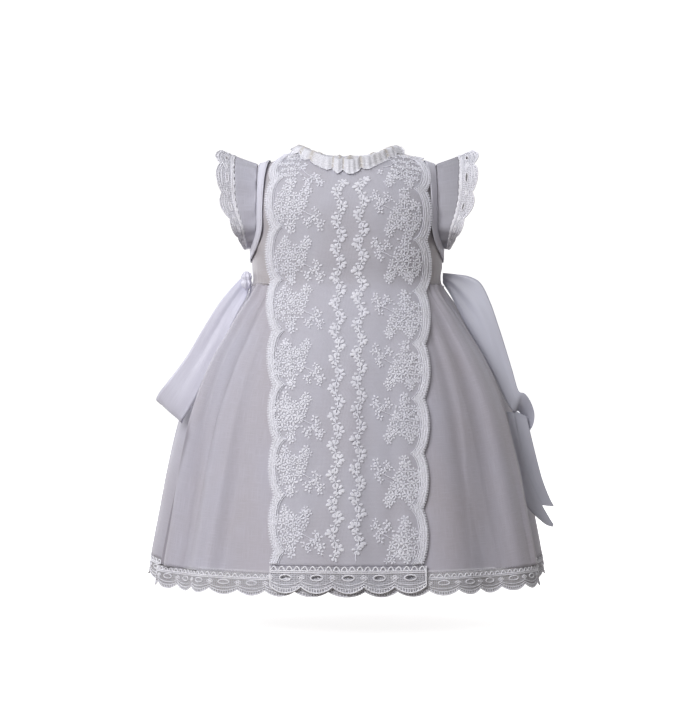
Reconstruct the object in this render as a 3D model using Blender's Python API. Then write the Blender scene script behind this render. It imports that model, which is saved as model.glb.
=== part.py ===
# Lace-panelled christening dress for a baby, filled out as if worn.
# Metres, +Z up. The front faces -Y and +X is to the right, seen from the front.
# The origin is midway between the shoulder seams, where a wearer holds the dress up.

import math

import bmesh
import bpy
from mathutils import Vector

MM = 0.001

# Heights, in millimetres from the origin
SHOULDER_HEIGHT = 8.0
CHEST_HEIGHT = -66.0
ARMHOLE_BOTTOM = -88.0
WAIST_HEIGHT = -125.0
HEM_HEIGHT = -396.0
LACE_HEIGHT = 20.0
PANEL_HEM_HEIGHT = -388.0

# Walls and gaps, in millimetres
CLOTH_WALL = 1.2
SHEER_WALL = 1.0
RIBBON_WALL = 1.0
SEAM_GAP = 0.4
OVERLAY_RISE = 2.4
BINDING_RISE = 0.6
BORDER_RISE = 0.7

# Horizontal sections from the chest down to below the hem, in millimetres.
# Squareness is the power of the rounded section, 2 for an ellipse.
SECTION_COLUMNS = ("height", "half_width", "front_depth", "back_depth", "squareness")
SECTIONS = (
    (-60.0, 97.0, 73.0, 66.0, 2.60),
    (-100.0, 95.0, 75.0, 67.0, 2.60),
    (-125.0, 95.0, 76.0, 68.0, 2.50),
    (-160.0, 119.0, 91.0, 88.0, 2.30),
    (-200.0, 144.0, 106.0, 104.0, 2.20),
    (-250.0, 165.0, 120.0, 120.0, 2.15),
    (-300.0, 178.0, 131.0, 133.0, 2.10),
    (-350.0, 188.0, 141.0, 143.0, 2.10),
    (-396.0, 197.0, 149.0, 150.0, 2.10),
    (-424.0, 201.0, 153.0, 154.0, 2.10),
)

# Soft folds of the skirt: bearing from the front centre and half width in degrees,
# depth at the hem in millimetres (out is positive), and how early the fold opens.
FOLDS = (  # bearing, half_width, depth, opening_power
    (-168.0, 7.0, 6.0, 0.8),
    (-150.0, 7.0, -5.0, 0.8),
    (-134.0, 6.5, 6.0, 0.8),
    (-119.0, 7.0, -5.5, 0.8),
    (-104.0, 8.0, 9.0, 0.35),
    (-84.0, 8.0, -24.0, 0.5),
    (-66.0, 5.5, 4.0, 0.7),
    (-53.0, 6.0, -6.0, 0.9),
    (-41.0, 5.0, 5.0, 0.9),
    (-27.0, 6.0, -3.0, 1.0),
    (-9.0, 7.0, 3.0, 1.0),
    (12.0, 7.0, -3.0, 1.0),
    (30.0, 6.0, 3.0, 1.0),
    (43.0, 5.5, -5.0, 0.9),
    (56.0, 5.5, 5.0, 0.9),
    (67.0, 5.0, 3.0, 0.7),
    (85.0, 8.0, -23.0, 0.5),
    (105.0, 8.0, 9.0, 0.35),
    (121.0, 7.0, -5.5, 0.8),
    (137.0, 6.5, 5.5, 0.8),
    (155.0, 7.0, -5.0, 0.8),
    (177.0, 7.0, -4.5, 0.8),
)

# Lines of the bodice: shares of the way from waist to neck, and from centre to armhole
BODICE_ROWS = (0.0, 0.11, 0.218, 0.234, 0.27, 0.36, 0.49, 0.62, 0.75, 0.88, 1.0)
BODICE_SHARES = (0.0, 0.065, 0.13, 0.18, 0.215, 0.237, 0.34, 0.50, 0.68, 0.85, 1.0)

# Lines of the skirt and of the lining that hangs inside it
SKIRT_ROWS = (-125.3, -134.0, -147.0, -170.0, -205.0, -250.0, -300.0, -350.0, -396.0)
SKIRT_STEPS = 48
LINING_ROWS = (-127.0, -145.0, -180.0, -230.0, -300.0, -384.0)
LINING_STEPS = 48
LINING_TOP_GAP = 2.8
LINING_HEM_GAP = 7.0
LINING_FOLD_SHARE = 0.15

# Gathers at the waist seam, outside the lace panel
GATHER_COUNT = 24
GATHER_HEIGHT = 2.0
GATHER_LENGTH = 60.0
GATHER_FREE_BEARING = 38.0

# Shoulders, neck and armholes
DOME_LENGTH = 70.0
SHOULDER_SLOPE = 0.26
SHOULDER_FLAT = 45.0
NECK_HALF_WIDTH = 44.0
NECK_DROP_FRONT = 40.0
NECK_DROP_BACK = 24.0
ARMHOLE_NARROWING = 28.0
ARMHOLE_ROUNDING = 26.0

# Neck frill
FRILL_WAVES = 16
FRILL_WAVE_DEPTH = 2.6
FRILL_STEPS_PER_WAVE = 6

# Flutter sleeves
SLEEVE_LENGTH = 44.0
SLEEVE_ROOT_GAP = 0.9
SLEEVE_SHARE = 0.55
SLEEVE_WAVES = 6
SLEEVE_WAVE_DEPTH = 2.2
SLEEVE_END = 0.88
SLEEVE_SCALLOPS = 10
SLEEVE_SCALLOP_DEPTH = 3.0

# Armhole bindings
BINDING_WIDTH = 7.5
BINDING_INSET = 1.6
BINDING_STEPS = 40
BINDING_END = 0.9995

# Hem lace
HEM_SCALLOPS = 42
HEM_SCALLOP_DEPTH = 5.0
EYELET_DROP = 7.6
EYELET_HALF_HEIGHT = 2.4
EYELET_SHARE = 0.36
LACE_SHARES = (0.0, 0.5 - 0.5 * EYELET_SHARE, 0.5, 0.5 + 0.5 * EYELET_SHARE)

# Lace panel down the front
PANEL_LEFT_TOP = -76.0
PANEL_LEFT_HEM = -70.0
PANEL_RIGHT_TOP = 79.0
PANEL_RIGHT_HEM = 73.0
PANEL_SCALLOP = 51.0
PANEL_SCALLOP_DEPTH = 5.0
PANEL_STEPS_PER_SCALLOP = 4
PANEL_FREE_TOP = -31.0
PANEL_TOP_DROP = 2.6
PANEL_LACE_SCALLOPS = 5
PANEL_HALF_COLUMNS = (0.24, 0.42, 0.52, 0.60, 0.8, 0.9, 1.0)

# Back closure
PLACKET_HALF_WIDTH = 7.0
BUTTON_RADIUS = 5.0
BUTTON_HEIGHT = 2.6
BUTTON_HEIGHTS = (-20.0, -60.0, -100.0)

# Ribbons at the side seams: two edge points of each cross line, in millimetres.
# X is the distance out from the middle of the dress, on either side.
LEFT_LOOP = (  # edge_x, edge_y, edge_z, other_x, other_y, other_z
    (95.6, -4.0, -111.0, 95.6, -4.0, -121.0),
    (107.0, -10.0, -118.0, 101.0, -10.0, -133.0),
    (125.0, -16.0, -139.0, 110.0, -16.0, -155.0),
    (142.0, -20.0, -166.0, 123.0, -20.0, -182.0),
    (159.0, -22.0, -195.0, 136.5, -22.0, -208.0),
    (177.0, -23.0, -219.0, 147.5, -23.0, -232.0),
    (187.0, -21.0, -230.0, 158.0, -21.0, -250.0),
    (190.0, -15.0, -238.0, 164.0, -15.0, -259.0),
    (187.0, -9.0, -239.0, 164.0, -9.0, -260.0),
    (180.0, -6.5, -231.0, 160.0, -6.5, -250.0),
    (160.0, -6.0, -201.0, 142.0, -6.0, -214.0),
    (143.0, -5.0, -172.0, 129.0, -5.0, -184.0),
    (122.0, -2.0, -139.0, 113.0, -2.0, -152.0),
    (97.0, 3.0, -112.0, 97.0, 3.0, -122.0),
)
RIGHT_LOOP = (  # the same columns
    (95.6, -4.0, -111.0, 95.6, -4.0, -121.0),
    (108.0, -9.0, -112.5, 105.0, -9.0, -137.0),
    (122.0, -13.0, -115.0, 118.5, -13.0, -165.0),
    (133.0, -15.5, -122.0, 129.0, -15.5, -184.0),
    (142.0, -17.0, -140.0, 138.0, -17.0, -200.0),
    (150.0, -17.5, -163.0, 145.5, -17.5, -213.0),
    (157.0, -17.5, -185.0, 152.0, -17.5, -227.0),
    (164.0, -17.5, -208.0, 158.5, -17.5, -240.0),
    (170.0, -17.5, -228.0, 165.0, -16.5, -249.0),
    (176.0, -18.0, -231.0, 172.0, -8.0, -247.0),
    (182.0, -17.0, -239.0, 179.0, -3.0, -249.0),
    (186.0, -14.5, -251.0, 183.5, 0.0, -257.0),
    (185.0, -12.0, -262.0, 182.0, 2.0, -266.0),
    (180.5, -10.5, -270.0, 177.0, 3.0, -272.0),
)
OUTER_TAIL = (  # the same columns
    (180.5, -11.9, -268.0, 168.0, -13.4, -257.0),
    (187.0, -13.5, -290.0, 175.0, -14.0, -288.0),
    (194.0, -13.0, -316.0, 181.5, -13.5, -316.0),
    (201.0, -12.0, -334.0, 187.0, -12.5, -334.0),
    (206.0, -11.0, -343.6, 190.5, -12.0, -342.0),
)
INNER_TAIL = (  # the same columns
    (165.6, -16.6, -250.0, 157.0, -16.4, -249.0),
    (169.0, -17.5, -268.0, 159.0, -17.5, -268.0),
    (174.0, -18.0, -291.0, 163.0, -17.5, -293.0),
    (182.0, -17.0, -318.0, 170.0, -17.0, -325.0),
    (191.0, -16.0, -337.0, 180.0, -16.0, -345.0),
    (200.0, -15.5, -353.0, 195.5, -15.5, -360.0),
    (205.0, -15.0, -361.0, 204.0, -15.0, -363.5),
)
KNOT_CENTRE = (-99.6, -18.4, -119.0)
KNOT_RADII = (5.2, 4.6, 8.5)
KNOT_FOLDS = 4


def clear_scene():
    for item in list(bpy.data.objects):
        bpy.data.objects.remove(item, do_unlink=True)


def cloth_material(name, colour, roughness):
    material = bpy.data.materials.new(name)
    material.use_nodes = True
    shader = material.node_tree.nodes["Principled BSDF"]
    shader.inputs["Base Color"].default_value = (*colour, 1.0)
    shader.inputs["Roughness"].default_value = roughness
    shader.inputs["Metallic"].default_value = 0.0
    return material


def smooth_step(share):
    share = min(max(share, 0.0), 1.0)
    return share * share * (3.0 - 2.0 * share)


def signed_power(value, power):
    return math.copysign(abs(value) ** power, value)


def table_slope(column, row):
    """Slope of a section column at a row, from the rows on both sides of it."""
    before = max(row - 1, 0)
    after = min(row + 1, len(SECTIONS) - 1)
    rise = SECTIONS[after][column] - SECTIONS[before][column]
    return rise / (SECTIONS[after][0] - SECTIONS[before][0])


def section_at(height):
    """Half width, front depth, back depth and squareness on a smooth curve through the table."""
    height = min(max(height, SECTIONS[-1][0]), SECTIONS[0][0])
    row = 0
    while row < len(SECTIONS) - 2 and height < SECTIONS[row + 1][0]:
        row += 1
    top, bottom = SECTIONS[row][0], SECTIONS[row + 1][0]
    span = bottom - top
    share = (height - top) / span
    values = []
    for column in range(1, len(SECTION_COLUMNS)):
        start, end = SECTIONS[row][column], SECTIONS[row + 1][column]
        start_slope = table_slope(column, row) * span
        end_slope = table_slope(column, row + 1) * span
        square, cube = share ** 2, share ** 3
        value = (2 * cube - 3 * square + 1) * start + (cube - 2 * square + share) * start_slope
        value += (3 * square - 2 * cube) * end + (cube - square) * end_slope
        values.append(value)
    return values


def shoulder_line(x):
    return SHOULDER_HEIGHT - SHOULDER_SLOPE * max(abs(x) - SHOULDER_FLAT, 0.0)


def form_point(bearing, height):
    """Point of the plain form. Above the chest, height runs along the rounded shoulder."""
    half_width, front, back, squareness = section_at(height)
    angle = math.radians(bearing)
    depth = front if math.cos(angle) >= 0.0 else back
    x = half_width * signed_power(math.sin(angle), 2.0 / squareness)
    y = -depth * signed_power(math.cos(angle), 2.0 / squareness)
    z = height
    if height > CHEST_HEIGHT:
        lean = (height - CHEST_HEIGHT) / DOME_LENGTH
        y *= math.cos(lean)
        z = CHEST_HEIGHT + (shoulder_line(x) - CHEST_HEIGHT) * math.sin(lean)
    return Vector((x, y, z))


def form_normal(bearing, height):
    across = form_point(bearing + 1.0, height) - form_point(bearing - 1.0, height)
    along = form_point(bearing, height + 1.0) - form_point(bearing, height - 1.0)
    return across.cross(along).normalized()


def bearing_of(x, height):
    """Bearing on the front of the form at a distance x from the middle."""
    half_width, _, _, squareness = section_at(height)
    share = min(abs(x) / half_width, 1.0)
    return math.copysign(math.degrees(math.asin(share ** (squareness / 2.0))), x)


def turn_between(bearing, other):
    return (bearing - other + 180.0) % 360.0 - 180.0


def fold_rise(bearing, height):
    """How far the folds of the skirt push its cloth out at this place."""
    if height >= WAIST_HEIGHT:
        return 0.0
    drop = (WAIST_HEIGHT - height) / (WAIST_HEIGHT - HEM_HEIGHT)
    rise = 0.0
    for place, half_width, depth, opening_power in FOLDS:
        turn = turn_between(bearing, place) / half_width
        rise += depth * drop ** opening_power * math.exp(-0.5 * turn * turn)
    return rise


def gather_rise(bearing, height):
    """Small gathers under the waist seam, which fade out below it and under the panel."""
    fade = 1.0 - smooth_step((WAIST_HEIGHT - height) / GATHER_LENGTH)
    clear = smooth_step((abs(turn_between(bearing, 0.0)) - GATHER_FREE_BEARING) / 10.0)
    wave = 0.5 + 0.5 * math.cos(math.radians(bearing) * GATHER_COUNT)
    return GATHER_HEIGHT * wave * fade * clear


def cloth_point(bearing, height, rise):
    """Point of a layer that lies over the folded form, rise millimetres out from it."""
    out = fold_rise(bearing, height) + rise
    return form_point(bearing, height) + form_normal(bearing, height) * out


def neck_lean(x, drop):
    """How far up the rounded shoulder the cloth reaches at x, in degrees from the chest."""
    if abs(x) >= NECK_HALF_WIDTH:
        return 90.0
    return 90.0 - drop * math.sqrt(1.0 - (x / NECK_HALF_WIDTH) ** 2)


def top_height(x, drop):
    return CHEST_HEIGHT + DOME_LENGTH * math.radians(neck_lean(x, drop))


def armhole_bearing(height):
    """Bearing of the side edge of the bodice: the side seam, then the armhole above it."""
    share = (height - ARMHOLE_BOTTOM) / ARMHOLE_ROUNDING
    share = min(max(share, 0.0), 1.0)
    return 90.0 - ARMHOLE_NARROWING * math.sqrt(1.0 - (1.0 - share) ** 2)


def wall_object(name, outer, inner, material, closed=False, holes=()):
    """A closed wall between two grids of points. Cells in holes are cut through."""
    columns, rows = len(outer), len(outer[0])
    last = columns if closed else columns - 1
    missing = set(holes)
    cells = {(c, r) for c in range(last) for r in range(rows - 1)} - missing
    mesh = bmesh.new()
    corners = {}

    def corner(side, column, row):
        key = (side, column % columns, row)
        if key not in corners:
            grid = outer if side == 0 else inner
            corners[key] = mesh.verts.new(grid[key[1]][row] * MM)
        return corners[key]

    for column, row in sorted(cells):
        ring = ((column, row), (column + 1, row), (column + 1, row + 1), (column, row + 1))
        sides = [corner(0, *place) for place in ring]
        one_way = (sides[0].co - sides[2].co).length <= (sides[1].co - sides[3].co).length
        halves = ((0, 1, 2), (0, 2, 3)) if one_way else ((0, 1, 3), (1, 2, 3))
        for half in halves:
            mesh.faces.new([corner(0, *ring[place]) for place in half])
            mesh.faces.new([corner(1, *ring[place]) for place in reversed(half)])
        beside = (
            (column, row - 1),
            ((column + 1) % columns if closed else column + 1, row),
            (column, row + 1),
            ((column - 1) % columns if closed else column - 1, row),
        )
        for side in range(4):
            if beside[side] in cells:
                continue
            start, end = ring[side], ring[(side + 1) % 4]
            rim = (corner(0, *end), corner(0, *start), corner(1, *start), corner(1, *end))
            mesh.faces.new(rim)
    bmesh.ops.recalc_face_normals(mesh, faces=mesh.faces[:])
    if mesh.calc_volume(signed=True) < 0.0:
        bmesh.ops.reverse_faces(mesh, faces=mesh.faces[:])
    bmesh.ops.triangulate(mesh, faces=mesh.faces[:], quad_method="SHORT_EDGE")
    return mesh_object(name, mesh, material)


def mesh_object(name, mesh, material):
    data = bpy.data.meshes.new(name)
    mesh.to_mesh(data)
    mesh.free()
    data.materials.append(material)
    data.shade_smooth()
    item = bpy.data.objects.new(name, data)
    bpy.context.scene.collection.objects.link(item)
    return item


def even_steps(start, end, count):
    return [start + (end - start) * step / count for step in range(count + 1)]


def bodice_bearing(share, height):
    """Bearing of a line up the bodice; share is 0 at the centre and 1 at the armhole edge."""
    return share * 90.0 - share ** 3 * (90.0 - armhole_bearing(height))


def bodice_grid(shares, rows, side_turn, drop, rise, shift):
    """Grid of a bodice piece: shares run from armhole to armhole, rows from waist to neck."""
    grid = []
    for share in shares:
        top_x = form_point(bodice_bearing(share, CHEST_HEIGHT + DOME_LENGTH), CHEST_HEIGHT).x
        top = top_height(top_x, drop)
        bottom = WAIST_HEIGHT + 0.5 * SEAM_GAP
        column = []
        for row in rows:
            height = bottom + (top - bottom) * row
            bearing = bodice_bearing(share, height)
            column.append(cloth_point(side_turn(bearing), height, rise) + shift)
        grid.append(column)
    return grid


def make_bodice(cloth):
    front_shares = [-share for share in reversed(BODICE_SHARES[1:])] + list(BODICE_SHARES)
    shift = Vector((0.0, -0.5 * SEAM_GAP, 0.0))
    walls = []
    for rise in (0.0, -CLOTH_WALL):
        walls.append(
            bodice_grid(front_shares, BODICE_ROWS, lambda turn: turn, NECK_DROP_FRONT, rise, shift)
        )
    wall_object("bodice_front", walls[0], walls[1], cloth)
    for name, side in (("bodice_back_left", -1.0), ("bodice_back_right", 1.0)):
        shares = [side * share for share in BODICE_SHARES]
        shift = Vector((side * 0.5 * SEAM_GAP, 0.5 * SEAM_GAP, 0.0))
        walls = []
        for rise in (0.0, -CLOTH_WALL):
            walls.append(
                bodice_grid(
                    shares, BODICE_ROWS, lambda turn: 180.0 - turn, NECK_DROP_BACK, rise, shift
                )
            )
        wall_object(name, walls[0], walls[1], cloth)


def make_placket(cloth, button_material):
    """Button strip down the back opening, with its buttons."""
    bottom = WAIST_HEIGHT + 1.0
    walls = []
    for rise in (BINDING_RISE, BINDING_RISE + SHEER_WALL):
        grid = []
        for x in (-PLACKET_HALF_WIDTH, 0.0, PLACKET_HALF_WIDTH):
            top = top_height(x, NECK_DROP_BACK) - 1.0
            column = []
            for height in even_steps(bottom, top, 8):
                bearing = 180.0 - bearing_of(x, height)
                column.append(cloth_point(bearing, height, rise) + Vector((0.0, 0.5, 0.0)))
            grid.append(column)
        walls.append(grid)
    wall_object("back_placket", walls[1], walls[0], cloth)
    for number, height in enumerate(BUTTON_HEIGHTS, start=1):
        seat = cloth_point(180.0, height, BINDING_RISE + SHEER_WALL + 0.5) + Vector((0.0, 0.6, 0.0))
        facing = form_normal(180.0, height)
        make_button(f"back_button_{number}", seat, facing, button_material)


def make_button(name, seat, facing, material):
    """A small button with a rounded rim and a dished face."""
    profile = (
        (BUTTON_RADIUS - 0.7, 0.0),
        (BUTTON_RADIUS, 0.8),
        (BUTTON_RADIUS, BUTTON_HEIGHT - 0.7),
        (BUTTON_RADIUS - 0.8, BUTTON_HEIGHT),
        (BUTTON_RADIUS - 2.0, BUTTON_HEIGHT - 0.6),
    )
    steps = 14
    across = facing.orthogonal().normalized()
    along = facing.cross(across)
    mesh = bmesh.new()
    rings = []
    for radius, height in profile:
        ring = []
        for step in range(steps):
            turn = 2.0 * math.pi * step / steps
            flat = across * math.cos(turn) + along * math.sin(turn)
            ring.append(mesh.verts.new((seat + flat * radius + facing * height) * MM))
        rings.append(ring)
    for lower, upper in zip(rings, rings[1:]):
        for step in range(steps):
            after = (step + 1) % steps
            mesh.faces.new((lower[step], lower[after], upper[after], upper[step]))
    mesh.faces.new(list(reversed(rings[0])))
    mesh.faces.new(rings[-1])
    bmesh.ops.recalc_face_normals(mesh, faces=mesh.faces[:])
    mesh_object(name, mesh, material)


def neck_point(turn):
    """Point of the neck edge; turn is 0 at the front centre and 180 at the back."""
    angle = math.radians(turn)
    x = NECK_HALF_WIDTH * math.sin(angle)
    drop = NECK_DROP_FRONT if math.cos(angle) >= 0.0 else NECK_DROP_BACK
    height = top_height(x, drop)
    bearing = bearing_of(x, height)
    if math.cos(angle) < 0.0:
        bearing = 180.0 - bearing
    return form_point(bearing, height)


def frill_point(turn, share, rise):
    """Point of the gathered frill; share runs from its seam over the crest to its free edge."""
    angle = math.radians(turn)
    level = math.cos(angle) ** 2
    fall = 6.0 if math.cos(angle) >= 0.0 else 5.0
    profile = (
        (-2.0, 0.9, 0.0),
        (-0.6, 7.6, 0.35),
        (6.0, 8.6, 0.7),
        (12.0, 5.6 - fall * level, 1.0),
    )
    out, up, waviness = profile[share]
    wave = math.cos(angle * FRILL_WAVES + 0.6 * math.sin(3.0 * angle))
    out += FRILL_WAVE_DEPTH * waviness * wave
    up += 0.5 * FRILL_WAVE_DEPTH * waviness * wave
    outward = Vector((math.sin(angle), -math.cos(angle), 0.0))
    point = neck_point(turn) + outward * out + Vector((0.0, 0.0, up))
    normals = ((-1.0, 0.2), (-0.75, 0.65), (0.25, 0.95), (0.75, 0.65))
    side, lift = normals[share]
    return point + (outward * side + Vector((0.0, 0.0, lift))).normalized() * rise


def make_neck_frill(lace):
    steps = FRILL_WAVES * FRILL_STEPS_PER_WAVE
    walls = []
    for rise in (0.5 * SHEER_WALL, -0.5 * SHEER_WALL):
        grid = []
        for step in range(steps):
            turn = 360.0 * step / steps
            grid.append([frill_point(turn, share, rise) for share in range(4)])
        walls.append(grid)
    wall_object("neck_frill", walls[0], walls[1], lace, closed=True)


def armhole_place(side, place):
    """Bearing and height on the armhole edge; place runs from -1, low front, to 1, low back."""
    up = max(1.0 - abs(place), 0.0)
    shoulder = CHEST_HEIGHT + 0.5 * math.pi * DOME_LENGTH
    height = ARMHOLE_BOTTOM + (shoulder - ARMHOLE_BOTTOM) * up ** 2
    bearing = armhole_bearing(height)
    if place > 0.0:
        bearing = 180.0 - bearing
    return side * bearing, height


def armhole_point(side, place):
    bearing, height = armhole_place(side, place)
    return form_point(bearing, height)


def make_bindings(cloth):
    """Narrow bias strips laid along the armhole edges."""
    for name, side in (("armhole_binding_left", -1.0), ("armhole_binding_right", 1.0)):
        places = even_steps(-BINDING_END, BINDING_END, BINDING_STEPS)
        low, high = [], []
        for place in places:
            bearing, height = armhole_place(side, place)
            normal = form_normal(bearing, height)
            ahead = armhole_point(side, place + 0.02) - armhole_point(side, place - 0.02)
            inward = normal.cross(ahead).normalized() * side
            edge = armhole_point(side, place)
            near = edge + inward * BINDING_INSET + normal * BINDING_RISE
            far = edge + inward * (BINDING_INSET + BINDING_WIDTH) + normal * (BINDING_RISE + 0.9)
            low.append([near, far])
            high.append([near + normal * SHEER_WALL, far + normal * SHEER_WALL])
        wall_object(name, high, low, cloth)


def sleeve_reach(height):
    share = min(max((height + 92.0) / 100.0, 0.0), 1.0)
    return SLEEVE_LENGTH * (1.0 - (1.0 - share) ** 3)


def sleeve_point(side, place, share, extra, rise):
    """Point of a flutter sleeve; share runs from the armhole to the free edge."""
    edge = armhole_point(side, place)
    up = 1.0 - abs(place)
    swing = math.copysign(0.38 * math.sin(math.pi * up), place)
    droop = 0.75 * up ** 1.2 - 0.35 * smooth_step(up / 0.35)
    outward = Vector((side, swing, droop)).normalized()
    ahead = armhole_point(side, place + 0.02) - armhole_point(side, place - 0.02)
    across = ahead.cross(outward).normalized() * side
    reach = SLEEVE_ROOT_GAP + share * sleeve_reach(edge.z) + extra
    wave = SLEEVE_WAVE_DEPTH * share * math.cos(math.pi * SLEEVE_WAVES * (place + 0.08))
    return edge + outward * reach + across * (wave + rise)


def make_sleeves(sheer, lace):
    for word, side in (("left", -1.0), ("right", 1.0)):
        places = even_steps(-SLEEVE_END, SLEEVE_END, 4 * SLEEVE_WAVES)
        walls = []
        for rise in (0.5 * SHEER_WALL, -0.5 * SHEER_WALL):
            grid = []
            for place in places:
                column = [
                    sleeve_point(side, place, 0.0, 0.0, rise),
                    sleeve_point(side, place, 0.5 * SLEEVE_SHARE, 0.0, rise),
                    sleeve_point(side, place, SLEEVE_SHARE, -0.5 * SEAM_GAP, rise),
                ]
                grid.append(column)
            walls.append(grid)
        wall_object(f"sleeve_{word}", walls[0], walls[1], sheer)
        count = 4 * SLEEVE_SCALLOPS
        walls = []
        for rise in (0.5 * SHEER_WALL, -0.5 * SHEER_WALL):
            grid = []
            for step, place in enumerate(even_steps(-SLEEVE_END, SLEEVE_END, count)):
                slack = min(sleeve_reach(armhole_point(side, place).z) / 25.0, 1.0)
                scallop = slack * (abs(math.sin(math.pi * step / 4.0)) - 0.6)
                middle = 0.5 + 0.5 * SLEEVE_SHARE
                column = [
                    sleeve_point(side, place, SLEEVE_SHARE, 0.5 * SEAM_GAP, rise),
                    sleeve_point(side, place, middle, 0.0, rise),
                    sleeve_point(side, place, 1.0, SLEEVE_SCALLOP_DEPTH * scallop, rise),
                ]
                grid.append(column)
            walls.append(grid)
        wall_object(f"sleeve_lace_{word}", walls[0], walls[1], lace)


def make_skirt(sheer):
    for name, start, shift_y in (("skirt_front", -90.0, -1.0), ("skirt_back", 90.0, 1.0)):
        shift = Vector((0.0, shift_y * 0.5 * SEAM_GAP, 0.0))
        walls = []
        for rise in (0.0, -CLOTH_WALL):
            grid = []
            for bearing in even_steps(start, start + 180.0, SKIRT_STEPS):
                column = []
                for height in SKIRT_ROWS:
                    out = rise + gather_rise(bearing, height)
                    column.append(cloth_point(bearing, height, out) + shift)
                grid.append(column)
            walls.append(grid)
        wall_object(name, walls[0], walls[1], sheer)


def make_lining(cotton):
    """Lining that hangs free inside the skirt, its folds softer than the skirt's."""
    walls = []
    for rise in (0.0, -SHEER_WALL):
        grid = []
        for step in range(LINING_STEPS):
            bearing = 360.0 * step / LINING_STEPS
            column = []
            for height in LINING_ROWS:
                drop = (WAIST_HEIGHT - height) / (WAIST_HEIGHT - HEM_HEIGHT)
                inward = LINING_TOP_GAP + LINING_HEM_GAP * drop ** 0.5
                inward += LINING_FOLD_SHARE * fold_rise(bearing, height)
                column.append(cloth_point(bearing, height, rise - inward))
            grid.append(column)
        walls.append(grid)
    wall_object("skirt_lining", walls[0], walls[1], cotton, closed=True)


def lace_column(share, top, cusp, scallop_depth, eyelet):
    """Heights down one line of scalloped lace; share is the place within a scallop."""
    belly = abs(math.sin(math.pi * share)) ** 0.8
    inside = abs(share - 0.5) <= 0.5 * EYELET_SHARE + 0.001
    half = EYELET_HALF_HEIGHT * (1.0 if abs(share - 0.5) < 0.001 else 0.5 if inside else 0.45)
    return (top, eyelet + half, eyelet - half, cusp - scallop_depth * belly)


def make_hem_lace(lace):
    """Scalloped lace under the skirt's hem, with an oval eyelet cut in every scallop."""
    per_half = HEM_SCALLOPS // 2
    top = HEM_HEIGHT - SEAM_GAP
    cusp = HEM_HEIGHT - LACE_HEIGHT + HEM_SCALLOP_DEPTH
    eyelet = HEM_HEIGHT - EYELET_DROP
    for name, start, shift_y in (
        ("skirt_hem_lace_front", -90.0, -1.0),
        ("skirt_hem_lace_back", 90.0, 1.0),
    ):
        shift = Vector((0.0, shift_y * 0.5 * SEAM_GAP, 0.0))
        walls, holes = [], []
        for rise in (0.0, -SHEER_WALL):
            grid = []
            for number in range(per_half):
                shares = LACE_SHARES + (1.0,) if number == per_half - 1 else LACE_SHARES
                for share in shares:
                    bearing = start + 180.0 * (number + share) / per_half
                    column = []
                    for height in lace_column(share, top, cusp, HEM_SCALLOP_DEPTH, eyelet):
                        column.append(cloth_point(bearing, height, rise) + shift)
                    grid.append(column)
            walls.append(grid)
        for number in range(per_half):
            holes += [(4 * number + 1, 1), (4 * number + 2, 1)]
        wall_object(name, walls[0], walls[1], lace, holes=holes)


def panel_edges(height, scallops=True):
    """Left and right edge of the lace panel at a height, with round scallops outwards."""
    drop = smooth_step((SHOULDER_HEIGHT - height) / (SHOULDER_HEIGHT - HEM_HEIGHT))
    left = PANEL_LEFT_TOP + (PANEL_LEFT_HEM - PANEL_LEFT_TOP) * drop
    right = PANEL_RIGHT_TOP + (PANEL_RIGHT_HEM - PANEL_RIGHT_TOP) * drop
    if scallops:
        phase = (height - PANEL_HEM_HEIGHT) / PANEL_SCALLOP
        belly = abs(math.sin(math.pi * phase)) ** 0.8
        right += PANEL_SCALLOP_DEPTH * (belly - 0.7)
        belly = abs(math.sin(math.pi * (phase - 0.25))) ** 0.8
        left -= PANEL_SCALLOP_DEPTH * (belly - 0.7)
    climb = smooth_step((height + 20.0) / 60.0)
    return left + 13.0 * climb, right - 5.0 * climb


def panel_point(share, height, rise):
    """Point of the lace panel, which lies over the bodice front and hangs over the skirt."""
    left, right = panel_edges(height)
    x = 0.5 * (left + right) + 0.5 * share * (right - left)
    top = CHEST_HEIGHT + 0.5 * math.pi * DOME_LENGTH
    if height > PANEL_FREE_TOP:
        neck = top_height(x, NECK_DROP_FRONT) - PANEL_TOP_DROP
        stretch = (neck - PANEL_FREE_TOP) / (top - PANEL_FREE_TOP)
        height = PANEL_FREE_TOP + (height - PANEL_FREE_TOP) * stretch
    point = cloth_point(bearing_of(x, height), height, rise)
    return point + Vector((0.0, -0.5 * SEAM_GAP, 0.0))


def make_panel(lace):
    step = PANEL_SCALLOP / PANEL_STEPS_PER_SCALLOP
    top = CHEST_HEIGHT + 0.5 * math.pi * DOME_LENGTH
    heights = []
    height = PANEL_HEM_HEIGHT
    while height < top - 0.4 * step:
        heights.append(height)
        height += step
    heights.append(top)
    outer, inner = [], []
    shares = [-share for share in reversed(PANEL_HALF_COLUMNS)] + [0.0] + list(PANEL_HALF_COLUMNS)
    for share in shares:
        border = BORDER_RISE if abs(share) > 0.85 else 0.0
        outer.append([panel_point(share, h, OVERLAY_RISE + CLOTH_WALL + border) for h in heights])
        inner.append([panel_point(share, h, OVERLAY_RISE) for h in heights])
    wall_object("lace_panel", outer, inner, lace)


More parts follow.
